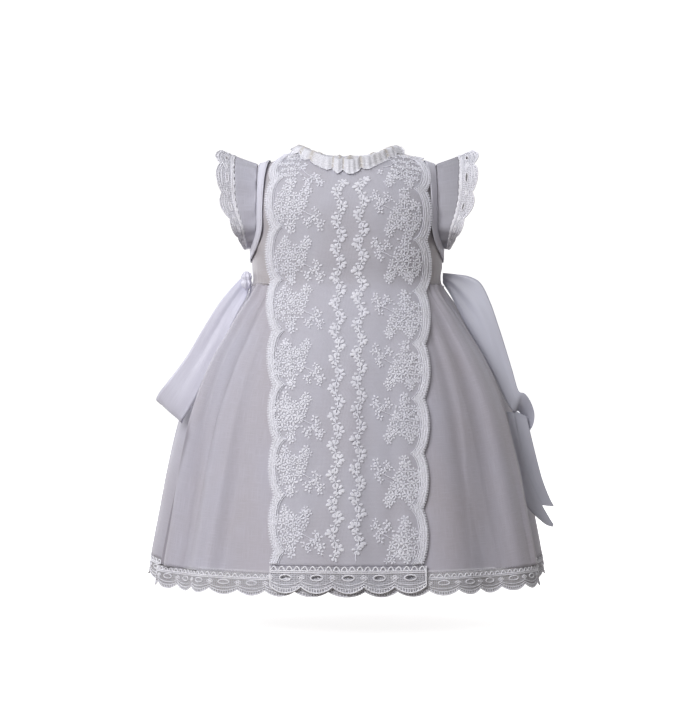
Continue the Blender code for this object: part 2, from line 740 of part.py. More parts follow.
def make_panel_lace(lace):
    """Eyelet lace along the panel's lower edge."""
    left, right = panel_edges(PANEL_HEM_HEIGHT, scallops=False)
    top = PANEL_HEM_HEIGHT - SEAM_GAP
    cusp = HEM_HEIGHT - LACE_HEIGHT + HEM_SCALLOP_DEPTH + 3.0
    eyelet = PANEL_HEM_HEIGHT - EYELET_DROP - 1.0
    walls, holes = [], []
    for rise in (OVERLAY_RISE + CLOTH_WALL, OVERLAY_RISE):
        grid = []
        for number in range(PANEL_LACE_SCALLOPS):
            last = number == PANEL_LACE_SCALLOPS - 1
            for share in LACE_SHARES + (1.0,) if last else LACE_SHARES:
                x = left + (right - left) * (number + share) / PANEL_LACE_SCALLOPS
                column = []
                for height in lace_column(share, top, cusp, HEM_SCALLOP_DEPTH, eyelet):
                    point = cloth_point(bearing_of(x, height), height, rise)
                    column.append(point + Vector((0.0, -0.5 * SEAM_GAP, 0.0)))
                grid.append(column)
        walls.append(grid)
    for number in range(PANEL_LACE_SCALLOPS):
        holes += [(4 * number + 1, 1), (4 * number + 2, 1)]
    wall_object("lace_panel_hem", walls[0], walls[1], lace, holes=holes)


def make_ribbon(name, side, lines, material):
    """A satin ribbon swept through its cross lines, with its wall square to the satin."""
    middles = []
    grid = []
    for ax, ay, az, bx, by, bz in lines:
        edge = Vector((side * ax, ay, az))
        other = Vector((side * bx, by, bz))
        grid.append([edge, 0.5 * (edge + other), other])
        middles.append(0.5 * (edge + other))
    outer, inner = [], []
    for number, line in enumerate(grid):
        before = middles[max(number - 1, 0)]
        after = middles[min(number + 1, len(middles) - 1)]
        normal = (after - before).cross(line[2] - line[0]).normalized()
        outer.append([point + normal * (0.5 * RIBBON_WALL) for point in line])
        inner.append([point - normal * (0.5 * RIBBON_WALL) for point in line])
    wall_object(name, outer, inner, material)


def make_knot(material):
    """Small gathered puff where the left ribbon is caught in the side seam."""
    steps, rings = 14, 7
    mesh = bmesh.new()
    centre = Vector(KNOT_CENTRE)
    poles = [mesh.verts.new((centre + Vector((0.0, 0.0, KNOT_RADII[2] * end))) * MM) for end in (-1, 1)]
    loops = []
    for ring in range(1, rings):
        lift = math.pi * ring / rings - 0.5 * math.pi
        loop = []
        for step in range(steps):
            turn = 2.0 * math.pi * step / steps
            crease = 1.0 + 0.07 * math.cos(KNOT_FOLDS * turn)
            x = KNOT_RADII[0] * crease * math.cos(lift) * math.cos(turn)
            y = KNOT_RADII[1] * crease * math.cos(lift) * math.sin(turn)
            loop.append(mesh.verts.new((centre + Vector((x, y, KNOT_RADII[2] * math.sin(lift)))) * MM))
        loops.append(loop)
    for lower, upper in zip(loops, loops[1:]):
        for step in range(steps):
            after = (step + 1) % steps
            mesh.faces.new((lower[step], lower[after], upper[after], upper[step]))
    for step in range(steps):
        after = (step + 1) % steps
        mesh.faces.new((poles[0], loops[0][after], loops[0][step]))
        mesh.faces.new((poles[1], loops[-1][step], loops[-1][after]))
    bmesh.ops.recalc_face_normals(mesh, faces=mesh.faces[:])
    mesh_object("ribbon_left_knot", mesh, material)


def main():
    clear_scene()
    organza = cloth_material("silk organza", (0.72, 0.72, 0.76), 0.75)
    mounted = cloth_material("organza mounted on cotton", (0.74, 0.72, 0.72), 0.8)
    cotton = cloth_material("cotton batiste lining", (0.72, 0.69, 0.66), 0.85)
    lace = cloth_material("embroidered lace", (0.80, 0.81, 0.86), 0.85)
    binding = cloth_material("cotton bias binding", (0.78, 0.78, 0.82), 0.8)
    satin = cloth_material("polyester satin ribbon", (0.80, 0.81, 0.88), 0.3)
    pearl = cloth_material("pearl button", (0.86, 0.85, 0.82), 0.25)
    make_bodice(mounted)
    make_placket(binding, pearl)
    make_neck_frill(lace)
    make_bindings(binding)
    make_sleeves(organza, lace)
    make_skirt(organza)
    make_lining(cotton)
    make_hem_lace(lace)
    make_panel(lace)
    make_panel_lace(lace)
    make_ribbon("ribbon_left_loop", -1.0, LEFT_LOOP, satin)
    make_ribbon("ribbon_right_loop", 1.0, RIGHT_LOOP, satin)
    make_ribbon("ribbon_right_tail_outer", 1.0, OUTER_TAIL, satin)
    make_ribbon("ribbon_right_tail_inner", 1.0, INNER_TAIL, satin)
    make_knot(satin)


main()
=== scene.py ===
import math

import bpy
import numpy as np
from mathutils import Matrix, Vector


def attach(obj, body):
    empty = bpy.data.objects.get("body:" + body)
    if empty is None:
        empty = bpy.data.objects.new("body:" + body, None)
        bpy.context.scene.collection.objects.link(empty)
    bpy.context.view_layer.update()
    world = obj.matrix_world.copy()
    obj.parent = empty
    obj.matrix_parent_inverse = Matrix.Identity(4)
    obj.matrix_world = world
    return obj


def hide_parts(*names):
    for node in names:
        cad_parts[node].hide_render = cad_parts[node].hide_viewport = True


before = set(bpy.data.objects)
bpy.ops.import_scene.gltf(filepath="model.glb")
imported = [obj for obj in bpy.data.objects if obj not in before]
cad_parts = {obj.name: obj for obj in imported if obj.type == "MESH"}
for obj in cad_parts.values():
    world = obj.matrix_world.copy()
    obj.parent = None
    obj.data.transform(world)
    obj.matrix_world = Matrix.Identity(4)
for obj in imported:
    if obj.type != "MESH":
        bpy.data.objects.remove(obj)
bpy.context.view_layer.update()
print("frame loaded")

scene = bpy.context.scene
mm = 0.001

# The form that every layer of cloth follows, in millimetres. Bearings are degrees
# from the front centre, and heights are measured from between the shoulder seams.
dressForm = {
    "sections": (  # height, half width, front depth, back depth, squareness
        (-60.0, 97.0, 73.0, 66.0, 2.60),
        (-100.0, 95.0, 75.0, 67.0, 2.60),
        (-125.0, 95.0, 76.0, 68.0, 2.50),
        (-160.0, 119.0, 91.0, 88.0, 2.30),
        (-200.0, 144.0, 106.0, 104.0, 2.20),
        (-250.0, 165.0, 120.0, 120.0, 2.15),
        (-300.0, 178.0, 131.0, 133.0, 2.10),
        (-350.0, 188.0, 141.0, 143.0, 2.10),
        (-396.0, 197.0, 149.0, 150.0, 2.10),
        (-424.0, 201.0, 153.0, 154.0, 2.10),
    ),
    "folds": (  # bearing, half width, depth at the hem, how early the fold opens
        (-168.0, 7.0, 6.0, 0.8),
        (-150.0, 7.0, -5.0, 0.8),
        (-134.0, 6.5, 6.0, 0.8),
        (-119.0, 7.0, -5.5, 0.8),
        (-104.0, 8.0, 9.0, 0.35),
        (-84.0, 8.0, -24.0, 0.5),
        (-66.0, 5.5, 4.0, 0.7),
        (-53.0, 6.0, -6.0, 0.9),
        (-41.0, 5.0, 5.0, 0.9),
        (-27.0, 6.0, -3.0, 1.0),
        (-9.0, 7.0, 3.0, 1.0),
        (12.0, 7.0, -3.0, 1.0),
        (30.0, 6.0, 3.0, 1.0),
        (43.0, 5.5, -5.0, 0.9),
        (56.0, 5.5, 5.0, 0.9),
        (67.0, 5.0, 3.0, 0.7),
        (85.0, 8.0, -23.0, 0.5),
        (105.0, 8.0, 9.0, 0.35),
        (121.0, 7.0, -5.5, 0.8),
        (137.0, 6.5, 5.5, 0.8),
        (155.0, 7.0, -5.0, 0.8),
        (177.0, 7.0, -4.5, 0.8),
    ),
    "chestHeight": -66.0,
    "shoulderHeight": 8.0,
    "shoulderSlope": 0.26,
    "shoulderFlat": 45.0,
    "domeLength": 70.0,
    "waistHeight": -125.0,
    "hemHeight": -396.0,
    "armholeBottom": -88.0,
    "armholeNarrowing": 28.0,
    "armholeRounding": 26.0,
    "neckHalfWidth": 44.0,
    "neckDropFront": 40.0,
    "neckDropBack": 24.0,
    "seamGap": 0.4,
    "edgeClear": 0.02,  # between two cloth edges that meet
}
form = dressForm
shoulderTop = form["chestHeight"] + 0.5 * math.pi * form["domeLength"]  # height of the shoulder seam
sectionRows = np.array(form["sections"])
sectionTops = sectionRows[:, 0]
rowBefore = np.maximum(np.arange(len(sectionTops)) - 1, 0)
rowAfter = np.minimum(np.arange(len(sectionTops)) + 1, len(sectionTops) - 1)
sectionSlopes = (sectionRows[rowAfter] - sectionRows[rowBefore])[:, 1:]
sectionSlopes = sectionSlopes / (sectionTops[rowAfter] - sectionTops[rowBefore])[:, None]


def evenSteps(start, end, count):
    return np.linspace(start, end, count + 1)


def gridOf(across, down):
    return np.meshgrid(across, down, indexing="ij")


def sameShape(first, second):
    return np.broadcast_arrays(np.asarray(first, float), np.asarray(second, float))


def halfTurn(bearing):
    # the same bearing, between -180 and 180
    return (bearing + 180.0) % 360.0 - 180.0


def smoothStep(share):
    share = np.clip(share, 0.0, 1.0)
    return share * share * (3.0 - 2.0 * share)


def signedPower(value, power):
    return np.sign(value) * np.abs(value) ** power


def sectionAt(height):
    height = np.clip(height, sectionTops[-1], sectionTops[0])
    row = np.searchsorted(-sectionTops, -height, side="right") - 1
    row = np.clip(row, 0, len(sectionTops) - 2)
    span = sectionTops[row + 1] - sectionTops[row]
    share = ((height - sectionTops[row]) / span)[..., None]
    span = span[..., None]
    start, end = sectionRows[row, 1:], sectionRows[row + 1, 1:]
    square, cube = share**2, share**3
    value = (2 * cube - 3 * square + 1) * start + (cube - 2 * square + share) * sectionSlopes[row] * span
    value = value + (3 * square - 2 * cube) * end + (cube - square) * sectionSlopes[row + 1] * span
    return np.moveaxis(value, -1, 0)


def shoulderLine(x):
    return form["shoulderHeight"] - form["shoulderSlope"] * np.maximum(np.abs(x) - form["shoulderFlat"], 0.0)


def formPoint(bearing, height):
    bearing, height = sameShape(bearing, height)
    halfWidth, front, back, squareness = sectionAt(height)
    angle = np.radians(bearing)
    depth = np.where(np.cos(angle) >= 0.0, front, back)
    x = halfWidth * signedPower(np.sin(angle), 2.0 / squareness)
    y = -depth * signedPower(np.cos(angle), 2.0 / squareness)
    chest = form["chestHeight"]
    # above the chest, height runs over the shoulder
    lean = np.maximum(height - chest, 0.0) / form["domeLength"]
    y = y * np.cos(lean)
    z = np.where(height > chest, chest + (shoulderLine(x) - chest) * np.sin(lean), height)
    return np.stack((x, y, z), -1)


def unit(vector):
    return vector / np.maximum(np.linalg.norm(vector, axis=-1, keepdims=True), 1e-9)


def formNormal(bearing, height):
    bearing, height = sameShape(bearing, height)
    across = formPoint(bearing + 1.0, height) - formPoint(bearing - 1.0, height)
    along = formPoint(bearing, height + 1.0) - formPoint(bearing, height - 1.0)
    return unit(np.cross(across, along))


def bearingOf(x, height):
    halfWidth, _, _, squareness = sectionAt(np.asarray(height, float))
    share = np.minimum(np.abs(x) / halfWidth, 1.0)
    return np.sign(x) * np.degrees(np.arcsin(share ** (squareness / 2.0)))


def heightOf(x, z):
    chest = form["chestHeight"]
    lean = np.arcsin(np.clip((z - chest) / (shoulderLine(x) - chest), 0.0, 1.0))
    return np.where(z > chest, chest + form["domeLength"] * lean, z)


def foldRise(bearing, height):
    bearing, height = sameShape(bearing, height)
    drop = np.clip((form["waistHeight"] - height) / (form["waistHeight"] - form["hemHeight"]), 0.0, None)
    rise = np.zeros_like(height)
    for place, halfWidth, depth, openingPower in form["folds"]:
        turn = halfTurn(bearing - place) / halfWidth
        rise = rise + depth * drop**openingPower * np.exp(-0.5 * turn * turn)
    return rise


def clothPoint(bearing, height, rise):
    out = foldRise(bearing, height) + rise
    return formPoint(bearing, height) + formNormal(bearing, height) * out[..., None]


def topHeight(x, drop):
    share = np.minimum(np.abs(x) / form["neckHalfWidth"], 1.0)
    lean = 90.0 - drop * np.sqrt(1.0 - share**2)
    return form["chestHeight"] + form["domeLength"] * np.radians(lean)


def armholeBearing(height):
    share = np.clip((height - form["armholeBottom"]) / form["armholeRounding"], 0.0, 1.0)
    return 90.0 - form["armholeNarrowing"] * np.sqrt(1.0 - (1.0 - share) ** 2)


def creaseRise(across, down, creases):
    rise = np.zeros(np.broadcast(across, down).shape)
    for startAcross, startDown, endAcross, endDown, halfWidth, depth in creases:
        runAcross, runDown = endAcross - startAcross, endDown - startDown
        length = runAcross**2 + runDown**2
        share = ((across - startAcross) * runAcross + (down - startDown) * runDown) / length
        held = np.clip(share, 0.0, 1.0)
        gap = np.hypot(across - startAcross - held * runAcross, down - startDown - held * runDown)
        fade = np.sin(math.pi * np.clip(share * 0.86 + 0.07, 0.0, 1.0)) ** 0.7
        rise = rise + depth * fade * np.exp(-0.5 * (gap / halfWidth) ** 2)
    return rise


# Nodes and materials


def linearColour(hexColour):
    values = [int(hexColour[place : place + 2], 16) / 255.0 for place in (1, 3, 5)]
    return [v / 12.92 if v <= 0.04045 else ((v + 0.055) / 1.055) ** 2.4 for v in values] + [1.0]


def addNode(tree, kind, inputs=(), output=0, **settings):
    # a node with its settings and links, of which one output comes back
    node = tree.nodes.new(kind)
    for name, value in settings.items():
        setattr(node, name, value)
    for place, value in inputs.items() if isinstance(inputs, dict) else enumerate(inputs):
        if isinstance(value, bpy.types.NodeSocket):
            tree.links.new(value, node.inputs[place])
        else:
            node.inputs[place].default_value = value
    return node.outputs[output] if len(node.outputs) else None


def newMaterial(name, roughness, sheen, specular):
    material = bpy.data.materials.new(name)
    material.use_nodes = True
    tree = material.node_tree
    shader = tree.nodes["Principled BSDF"]
    shader.inputs["Roughness"].default_value = roughness
    shader.inputs["Sheen Weight"].default_value = sheen
    shader.inputs["Specular IOR Level"].default_value = specular
    return material, tree, shader


def stretchedNoise(tree, place, scale, detail=2.0):
    place = addNode(tree, "ShaderNodeMapping", {"Vector": place, "Scale": scale})
    return addNode(tree, "ShaderNodeTexNoise", {"Vector": place, "Scale": 1.0, "Detail": detail})


def threadWave(tree, uv, axis, spacing):
    # rises and falls once in each spacing, across one of the two thread systems
    place = addNode(tree, "ShaderNodeSeparateXYZ", (uv,), axis)
    turn = addNode(tree, "ShaderNodeMath", (place, 2.0 * math.pi / (spacing * mm)), operation="MULTIPLY")
    return addNode(tree, "ShaderNodeMath", (turn,), operation="SINE")


def shadeWhere(tree, tone, pattern, colour, ends=(0.0, 1.0, 0.0, 1.0)):
    # the tone turns to another colour, by the share that the pattern gives between its ends
    share = addNode(tree, "ShaderNodeMapRange", (pattern, *ends))
    return addNode(tree, "ShaderNodeMix", {0: share, 6: tone, 7: linearColour(colour)}, 2, data_type="RGBA")


def cloudyTone(tree, scale, detail, colours, ends=(0.35, 0.65, 0.0, 1.0)):
    # two shades in soft patches, because no real finish is one even colour
    place = addNode(tree, "ShaderNodeTexCoord", (), "Object")
    clouds = stretchedNoise(tree, place, scale, detail)
    return shadeWhere(tree, linearColour(colours[0]), clouds, colours[1], ends)


def paintedSideShade(tree, tone, colour, start, end, most, axis=0):
    # painted shade: the cloth darkens from one side to the other, towards the side that turns away from the
    # light
    place = addNode(tree, "ShaderNodeTexCoord", (), "Object")
    across = addNode(tree, "ShaderNodeSeparateXYZ", (place,), axis)
    return shadeWhere(tree, tone, across, colour, (start, end, 0.0, most))


def paintedShadeTone(tree, tone, colour):
    # painted shade: the colour darkens by the piece's own point attribute, in place of the shade where a
    # fold lies deep or two ruffles meet
    depth = addNode(tree, "ShaderNodeAttribute", (), "Fac", attribute_name="paintedShade")
    return shadeWhere(tree, tone, depth, colour)


def finishShader(tree, shader, tone, relief, strength, distance, alpha=None):
    inputs = {"Height": relief, "Strength": strength, "Distance": distance * mm}
    bump = addNode(tree, "ShaderNodeBump", inputs)
    for socket, value in (("Base Color", tone), ("Normal", bump), ("Alpha", alpha)):
        if value is not None:
            tree.links.new(value, shader.inputs[socket])


def wovenCloth(
    name, colours, roughness, sheen, slub, spacing, alpha=None, bump=0.2, paintedSideShading=None, paintedShade=None
):
    # slub: how thick the thick places of the threads are, and spacing: two threads, in millimetres
    material, tree, shader = newMaterial(name, roughness, sheen, 0.3)
    uv = addNode(tree, "ShaderNodeUVMap", uv_map="cloth")
    warpSlub = stretchedNoise(tree, uv, (1000.0 / slub, 1000.0 / (slub * 26.0), 1.0))
    weftSlub = stretchedNoise(tree, uv, (1000.0 / (slub * 20.0), 1000.0 / slub, 1.0))
    slubs = addNode(tree, "ShaderNodeMath", (warpSlub, weftSlub), operation="MAXIMUM")
    waves = [threadWave(tree, uv, axis, spacing) for axis in (0, 1)]
    weave = addNode(tree, "ShaderNodeMath", waves, operation="MULTIPLY")
    tone = cloudyTone(tree, (14.0, 14.0, 9.0), 3.0, colours)
    tone = shadeWhere(tree, tone, slubs, colours[2], (0.42, 0.78, 0.0, 0.6))
    # painted shade on one side of the piece
    if paintedSideShading:
        tone = paintedSideShade(tree, tone, *paintedSideShading)
    # painted shade in the folds, from the piece's point attribute
    if paintedShade:
        tone = paintedShadeTone(tree, tone, paintedShade)
    relief, cover = (
        addNode(tree, "ShaderNodeMath", (weave, share, slubs), operation="MULTIPLY_ADD")
        for share in (0.35, 0.06)
    )
    if alpha:
        alpha = addNode(tree, "ShaderNodeMapRange", (cover, 0.40, 0.70, *alpha))
    finishShader(tree, shader, tone, relief, bump, 0.25, alpha)
    return material


# Silk organza, plain woven from hard-twisted threads: sheer, crisp, with slubs both ways.
# Real threads lie 0.3 mm apart, drawn at 2.2 mm so that the weave shows.
organzaShades = ("#CFCEDB", "#CAC5CD", "#D5D4E1")
# The organza's painted shade colour, laid into its crease troughs and beside its light folds.
organzaLook = {"alpha": (0.70, 0.77), "bump": 0.12, "paintedShade": "#8B8591"}
organza = wovenCloth("wovenSilkOrganza", organzaShades, 0.62, 0.25, 0.7, 2.2, **organzaLook)
# The back panel's organza: the same cloth, with painted shade that darkens it towards the back.
backLook = dict(organzaLook, paintedSideShading=("#ABA5AA", 0.0, 0.11, 0.7, 1))
backOrganza = wovenCloth("wovenSilkOrganzaBack", organzaShades, 0.62, 0.25, 0.7, 2.2, **backLook)
# The same organza mounted on cotton and sewn as one layer: no longer sheer, a little warmer.
mountedOrganza = wovenCloth("organzaMountedOnCotton", ("#B9B7BE", "#B3ADAE", "#C1BFC7"), 0.7, 0.2, 1.0, 2.2)
# Cotton batiste, plain woven and unbleached enough to give the sheer skirt its warm shade. Its
# threads lie 0.25 mm apart and are drawn at 2.4 mm.
batiste = wovenCloth("wovenCottonBatiste", ("#BFB9BE", "#B4AAA7", "#C4BEC3"), 0.85, 0.1, 1.2, 2.4)
# The sleeves' organza, doubled by its own gathers: less sheer, and darkened with painted shade on the right
# sleeve, which turns from the light.
sleeveShades = ("#C9C9D5", "#C3C1CA", "#D2D2DE")
sleeveLook = {"alpha": (0.88, 0.95), "bump": 0.15, "paintedSideShading": ("#83838B", 0.05, 0.14, 1.0)}
sleeveOrganza = wovenCloth("gatheredSleeveOrganza", sleeveShades, 0.62, 0.25, 0.9, 2.2, **sleeveLook)
# Cotton bias tape, pressed and edge-stitched: matt and plain, the brightest flat cloth. Its threads
# lie 0.3 mm apart and are drawn at 1.8 mm.
tapeShades = ("#DCDDE9", "#D7D6E0", "#E2E3EE")
biasTape = wovenCloth("pressedCottonBiasTape", tapeShades, 0.8, 0.15, 1.0, 1.8, bump=0.3)


def netCloth(name, colours, cell, threadShare, openAlpha, closedAlpha, bump=0.5, openTop=None, paintedShade=None):
    # cell: the size of a hole in millimetres, and threadShare: how much of it the threads take
    material, tree, shader = newMaterial(name, 0.75, 0.2, 0.3)
    uv = addNode(tree, "ShaderNodeUVMap", uv_map="cloth")
    holes = {"Vector": uv, "Scale": 1000.0 / cell, "Randomness": 0.35}
    edges = addNode(tree, "ShaderNodeTexVoronoi", holes, "Distance", feature="DISTANCE_TO_EDGE")
    thread = addNode(tree, "ShaderNodeMapRange", (edges, threadShare, threadShare * 2.2, 1.0, 0.0))
    tone = shadeWhere(tree, cloudyTone(tree, (20.0, 20.0, 14.0), 3.0, colours), thread, colours[2])
    # painted shade where the ruffles close, from the piece's point attribute
    if paintedShade:
        tone = paintedShadeTone(tree, tone, paintedShade)
    alpha = addNode(tree, "ShaderNodeMapRange", (thread, 0.0, 1.0, openAlpha, closedAlpha))
    if openTop:  # the loops of the top edge stand on almost open net
        down = addNode(tree, "ShaderNodeSeparateXYZ", (uv,), 1)
        share = addNode(tree, "ShaderNodeMapRange", (down, openTop * 0.9 * mm, openTop * mm, 0.45, 1.0))
        alpha = addNode(tree, "ShaderNodeMath", (alpha, share), operation="MULTIPLY")
    finishShader(tree, shader, tone, thread, bump, 0.3, alpha)
    return material


# Cotton net, machine-made with round holes of 1 mm, drawn at 1.25 mm so that they show.
netShades = ("#E3E3EF", "#DCD9E3", "#ECEDF6")
netGround = netCloth("machineMadeCottonNet", netShades, 1.25, 0.07, 0.42, 0.56, bump=0.4)
# Trimming lace, knitted from cotton: a close net of 0.8 mm holes between its heavier threads,
# drawn at 1.7 mm. At the hem its colour is darkened with painted shade, as it lies in the skirt's shade.
hemLaceShadedGround = netCloth("knittedTrimmingLacePaintedShade", ("#A29FA5", "#9A9492", "#BFC0C9"), 1.7, 0.10, 0.74, 0.93)
# The same knitted lace at the sleeves: brighter and more open.
sleeveTrimGround = netCloth("knittedSleeveLace", ("#D0D1DB", "#C8C8D1", "#ECEDF5"), 1.7, 0.10, 0.55, 0.95)
# The same knitted lace under the panel, almost open above its row of loops.
panelShades = ("#B9B9C2", "#B0ADB0", "#DDDEE7")
panelTrimGround = netCloth("knittedPanelLace", panelShades, 1.7, 0.10, 0.45, 0.85, openTop=4.4)
# Dense stitched edging of the panel: rows of close satin stitch with pinprick holes between.
borderShades = ("#DADBE5", "#D2D2DC", "#EDEEF6")
borderLace = netCloth("satinStitchedEdging", borderShades, 1.6, 0.16, 0.70, 0.96, bump=0.9)
# Gathered lace of the neck: the whitest cloth, with a warm painted shade where its ruffles close and along
# the neck edge.
neckShades = ("#E9EBF5", "#E0E1EA", "#F7F8FE")
neckLook = {"bump": 0.35, "paintedShade": "#B9AF9A"}
frillGround = netCloth("gatheredNeckLace", neckShades, 1.5, 0.10, 0.70, 0.95, **neckLook)


def threadMaterial(name, colours, roughness, twist):
    # twist: the length of one turn of the yarn in millimetres
    material, tree, shader = newMaterial(name, roughness, 0.3, 0.4)
    place = addNode(tree, "ShaderNodeTexCoord", (), "Object")
    fine = stretchedNoise(tree, place, (1000.0 / twist,) * 3)
    tone = cloudyTone(tree, (30.0, 30.0, 22.0), 2.0, colours)
    tone = shadeWhere(tree, tone, fine, colours[2], (0.3, 0.6, 1.0, 0.0))
    finishShader(tree, shader, tone, fine, 0.6, 0.3)
    return material


# Mercerised cotton, machine embroidered in satin stitch: bright, with a silky gleam.
embroideryThread = threadMaterial("mercerisedEmbroideryThread", ("#F4F5FC", "#ECEDF6", "#DADBE6"), 0.5, 0.9)
# Heavier cotton threads of the trimming lace: matt and white.
laceThread = threadMaterial("cottonLaceThread", ("#FAFBFF", "#F2F2F8", "#DADAE4"), 0.65, 1.0)
# Spun sewing thread of the seams: matt, a shade darker than the tape that it holds.
sewingThread = threadMaterial("spunSewingThread", ("#E2E2EC", "#D8D8E2", "#B4B4C0"), 0.6, 0.6)


def satinMaterial():
    # Polyester satin, woven with long floats: smooth, bright, with a soft directional gloss.
    # The floats are drawn 0.9 mm wide and about 20 mm long, coarser than real ones, so that they show.
    material, tree, shader = newMaterial("wovenPolyesterSatin", 0.34, 0.15, 0.5)
    shader.inputs["Anisotropic"].default_value = 0.4
    floats = stretchedNoise(tree, addNode(tree, "ShaderNodeUVMap", uv_map="cloth"), (1100.0, 45.0, 1.0))
    tone = cloudyTone(tree, (22.0, 22.0, 18.0), 2.0, ("#E4E5F3", "#DDDDEB"))
    tone = shadeWhere(tree, tone, floats, "#C9C8D8", (0.3, 0.7, 0.25, 0.0))
    # painted shade: the ribbons on the right side darken, as they lie away from the light
    tone = paintedSideShade(tree, tone, "#B6BAC6", 0.02, 0.12, 0.6)
    gloss = addNode(tree, "ShaderNodeMapRange", (floats, 0.3, 0.7, 0.3, 0.42))
    tree.links.new(gloss, shader.inputs["Roughness"])
    finishShader(tree, shader, tone, floats, 0.25, 0.15)
    return material


def pearlMaterial():
    # Moulded pearl polyester: milky and glossy, with cloudy bands a few millimetres wide
    material, tree, shader = newMaterial("mouldedPearlPolyester", 0.22, 0.0, 0.5)
    shader.inputs["Coat Weight"].default_value = 0.4
    place = addNode(tree, "ShaderNodeTexCoord", (), "Object")
    clouds = stretchedNoise(tree, place, (260.0, 260.0, 420.0), 3.0)
    tone = shadeWhere(tree, linearColour("#E9E7E1"), clouds, "#D5D6DC", (0.3, 0.7, 0.0, 1.0))
    gloss = addNode(tree, "ShaderNodeMapRange", (clouds, 0.3, 0.7, 0.18, 0.3))
    tree.links.new(tone, shader.inputs["Base Color"])
    tree.links.new(gloss, shader.inputs["Roughness"])
    return material


satin = satinMaterial()
pearl = pearlMaterial()
print("materials made")

# Geometry node trees for what repeats or follows a line


def newTree(name, *sockets):
    tree = bpy.data.node_groups.new(name, "GeometryNodeTree")
    for label, kind in (("Geometry", "Geometry"), *sockets):
        tree.interface.new_socket(label, in_out="INPUT", socket_type="NodeSocket" + kind)
    tree.interface.new_socket("Geometry", in_out="OUTPUT", socket_type="NodeSocketGeometry")
    return tree, tree.nodes.new("NodeGroupInput").outputs


def endTree(tree, geometry, finish, smooth):
    whole = addNode(tree, "GeometryNodeRealizeInstances", (geometry,))
    coloured = addNode(tree, "GeometryNodeSetMaterial", {"Geometry": whole, "Material": finish})
    shaded = addNode(tree, "GeometryNodeSetShadeSmooth", {0: coloured, "Shade Smooth": smooth})
    addNode(tree, "NodeGroupOutput", (shaded,))
    return tree


def makeThreadTree():
    # a round thread along every line of the seed mesh
    sockets = (("Thread radius", "Float"), ("Sides", "Int"), ("Finish", "Material"))
    tree, given = newTree("threadAlongLines", *sockets)
    lines = addNode(tree, "GeometryNodeMeshToCurve", (given["Geometry"],))
    sizes = {"Resolution": given["Sides"], "Radius": given["Thread radius"]}
    profile = addNode(tree, "GeometryNodeCurvePrimitiveCircle", sizes)
    tube = addNode(tree, "GeometryNodeCurveToMesh", {0: lines, 1: profile, "Fill Caps": True})
    return endTree(tree, tube, given["Finish"], True)


def makeStampTree():
    # one small shape on every point, turned and sized by the point's own attributes
    tree, given = newTree("shapeOnPoints", ("Shape", "Object"), ("Size", "Float"), ("Finish", "Material"))
    shape = addNode(tree, "GeometryNodeObjectInfo", {"Object": given["Shape"]}, "Geometry")
    turn, span = (
        addNode(tree, "GeometryNodeInputNamedAttribute", {"Name": name}, data_type="FLOAT_VECTOR")
        for name in ("turn", "span")
    )
    rotation = addNode(tree, "FunctionNodeEulerToRotation", (turn,))
    scaled = addNode(tree, "ShaderNodeVectorMath", {0: span, "Scale": given["Size"]}, operation="SCALE")
    inputs = {"Points": given["Geometry"], "Instance": shape, "Rotation": rotation, "Scale": scaled}
    return endTree(tree, addNode(tree, "GeometryNodeInstanceOnPoints", inputs), given["Finish"], False)


threadTree = makeThreadTree()
stampTree = makeStampTree()


def newObject(name, mesh):
    item = bpy.data.objects.new(name, mesh)
    scene.collection.objects.link(item)
    return item


def grownPiece(name, mesh, tree, values):
    seed = newObject(name + "Seed", mesh)
    modifier = seed.modifiers.new("grow", "NODES")
    modifier.node_group = tree
    for item in tree.interface.items_tree:
        if item.item_type == "SOCKET" and item.in_out == "INPUT" and item.name in values:
            modifier[item.identifier] = values[item.name]
    graph = bpy.context.evaluated_depsgraph_get()
    grown = bpy.data.meshes.new_from_object(seed.evaluated_get(graph), depsgraph=graph)
    grown.name = name
    bpy.data.objects.remove(seed, do_unlink=True)
    return newObject(name, grown)


def threadPiece(name, lines, radius, material, sides=5):
    mesh = bpy.data.meshes.new(name + "Lines")
    points, edges = [], []
    for line in lines:
        first = len(points)
        points.extend(np.asarray(line) * mm)
        edges.extend((first + step, first + step + 1) for step in range(len(line) - 1))
    mesh.from_pydata([tuple(point) for point in points], edges, [])
    values = {"Thread radius": radius * mm, "Sides": sides, "Finish": material}
    return grownPiece(name, mesh, threadTree, values)


def stampPiece(name, places, shape, material):
    # places: point, direction, surface normal and span, which is in millimetres too
    mesh = bpy.data.meshes.new(name + "Points")
    mesh.from_pydata([tuple(np.asarray(place[0]) * mm) for place in places], [], [])
    turns = mesh.attributes.new("turn", "FLOAT_VECTOR", "POINT")
    spans = mesh.attributes.new("span", "FLOAT_VECTOR", "POINT")
    for number, (_, direction, normal, span) in enumerate(places):
        up = Vector(normal).normalized()
        along = Vector(direction)
        along = (along - up * along.dot(up)).normalized()
        turns.data[number].vector = Matrix((along, up.cross(along), up)).transposed().to_euler()
        spans.data[number].vector = [size * mm for size in span]
    return grownPiece(name, mesh, stampTree, {"Shape": shape, "Size": 1.0, "Finish": material})


def petalShape(name, width, height, steps=8):
    # a padded petal one unit long, crowned along its middle
    points, faces = [], []
    for share, lift in ((1.0, 0.0), (0.74, 0.8)):
        for step in range(steps):
            turn = 2.0 * math.pi * step / steps
            along = 0.5 + 0.5 * share * math.cos(turn)
            across = 0.5 * width * share * math.sin(turn) * (0.75 + 0.35 * math.cos(turn))
            points.append((along, across, height * lift))
    points.append((0.52, 0.0, height))
    for step in range(steps):
        after = (step + 1) % steps
        faces.append((step, after, steps + after, steps + step))
        faces.append((steps + step, steps + after, 2 * steps))
    faces.append(tuple(reversed(range(steps))))
    mesh = bpy.data.meshes.new(name)
    mesh.from_pydata(points, [], faces)
    return newObject(name, mesh)


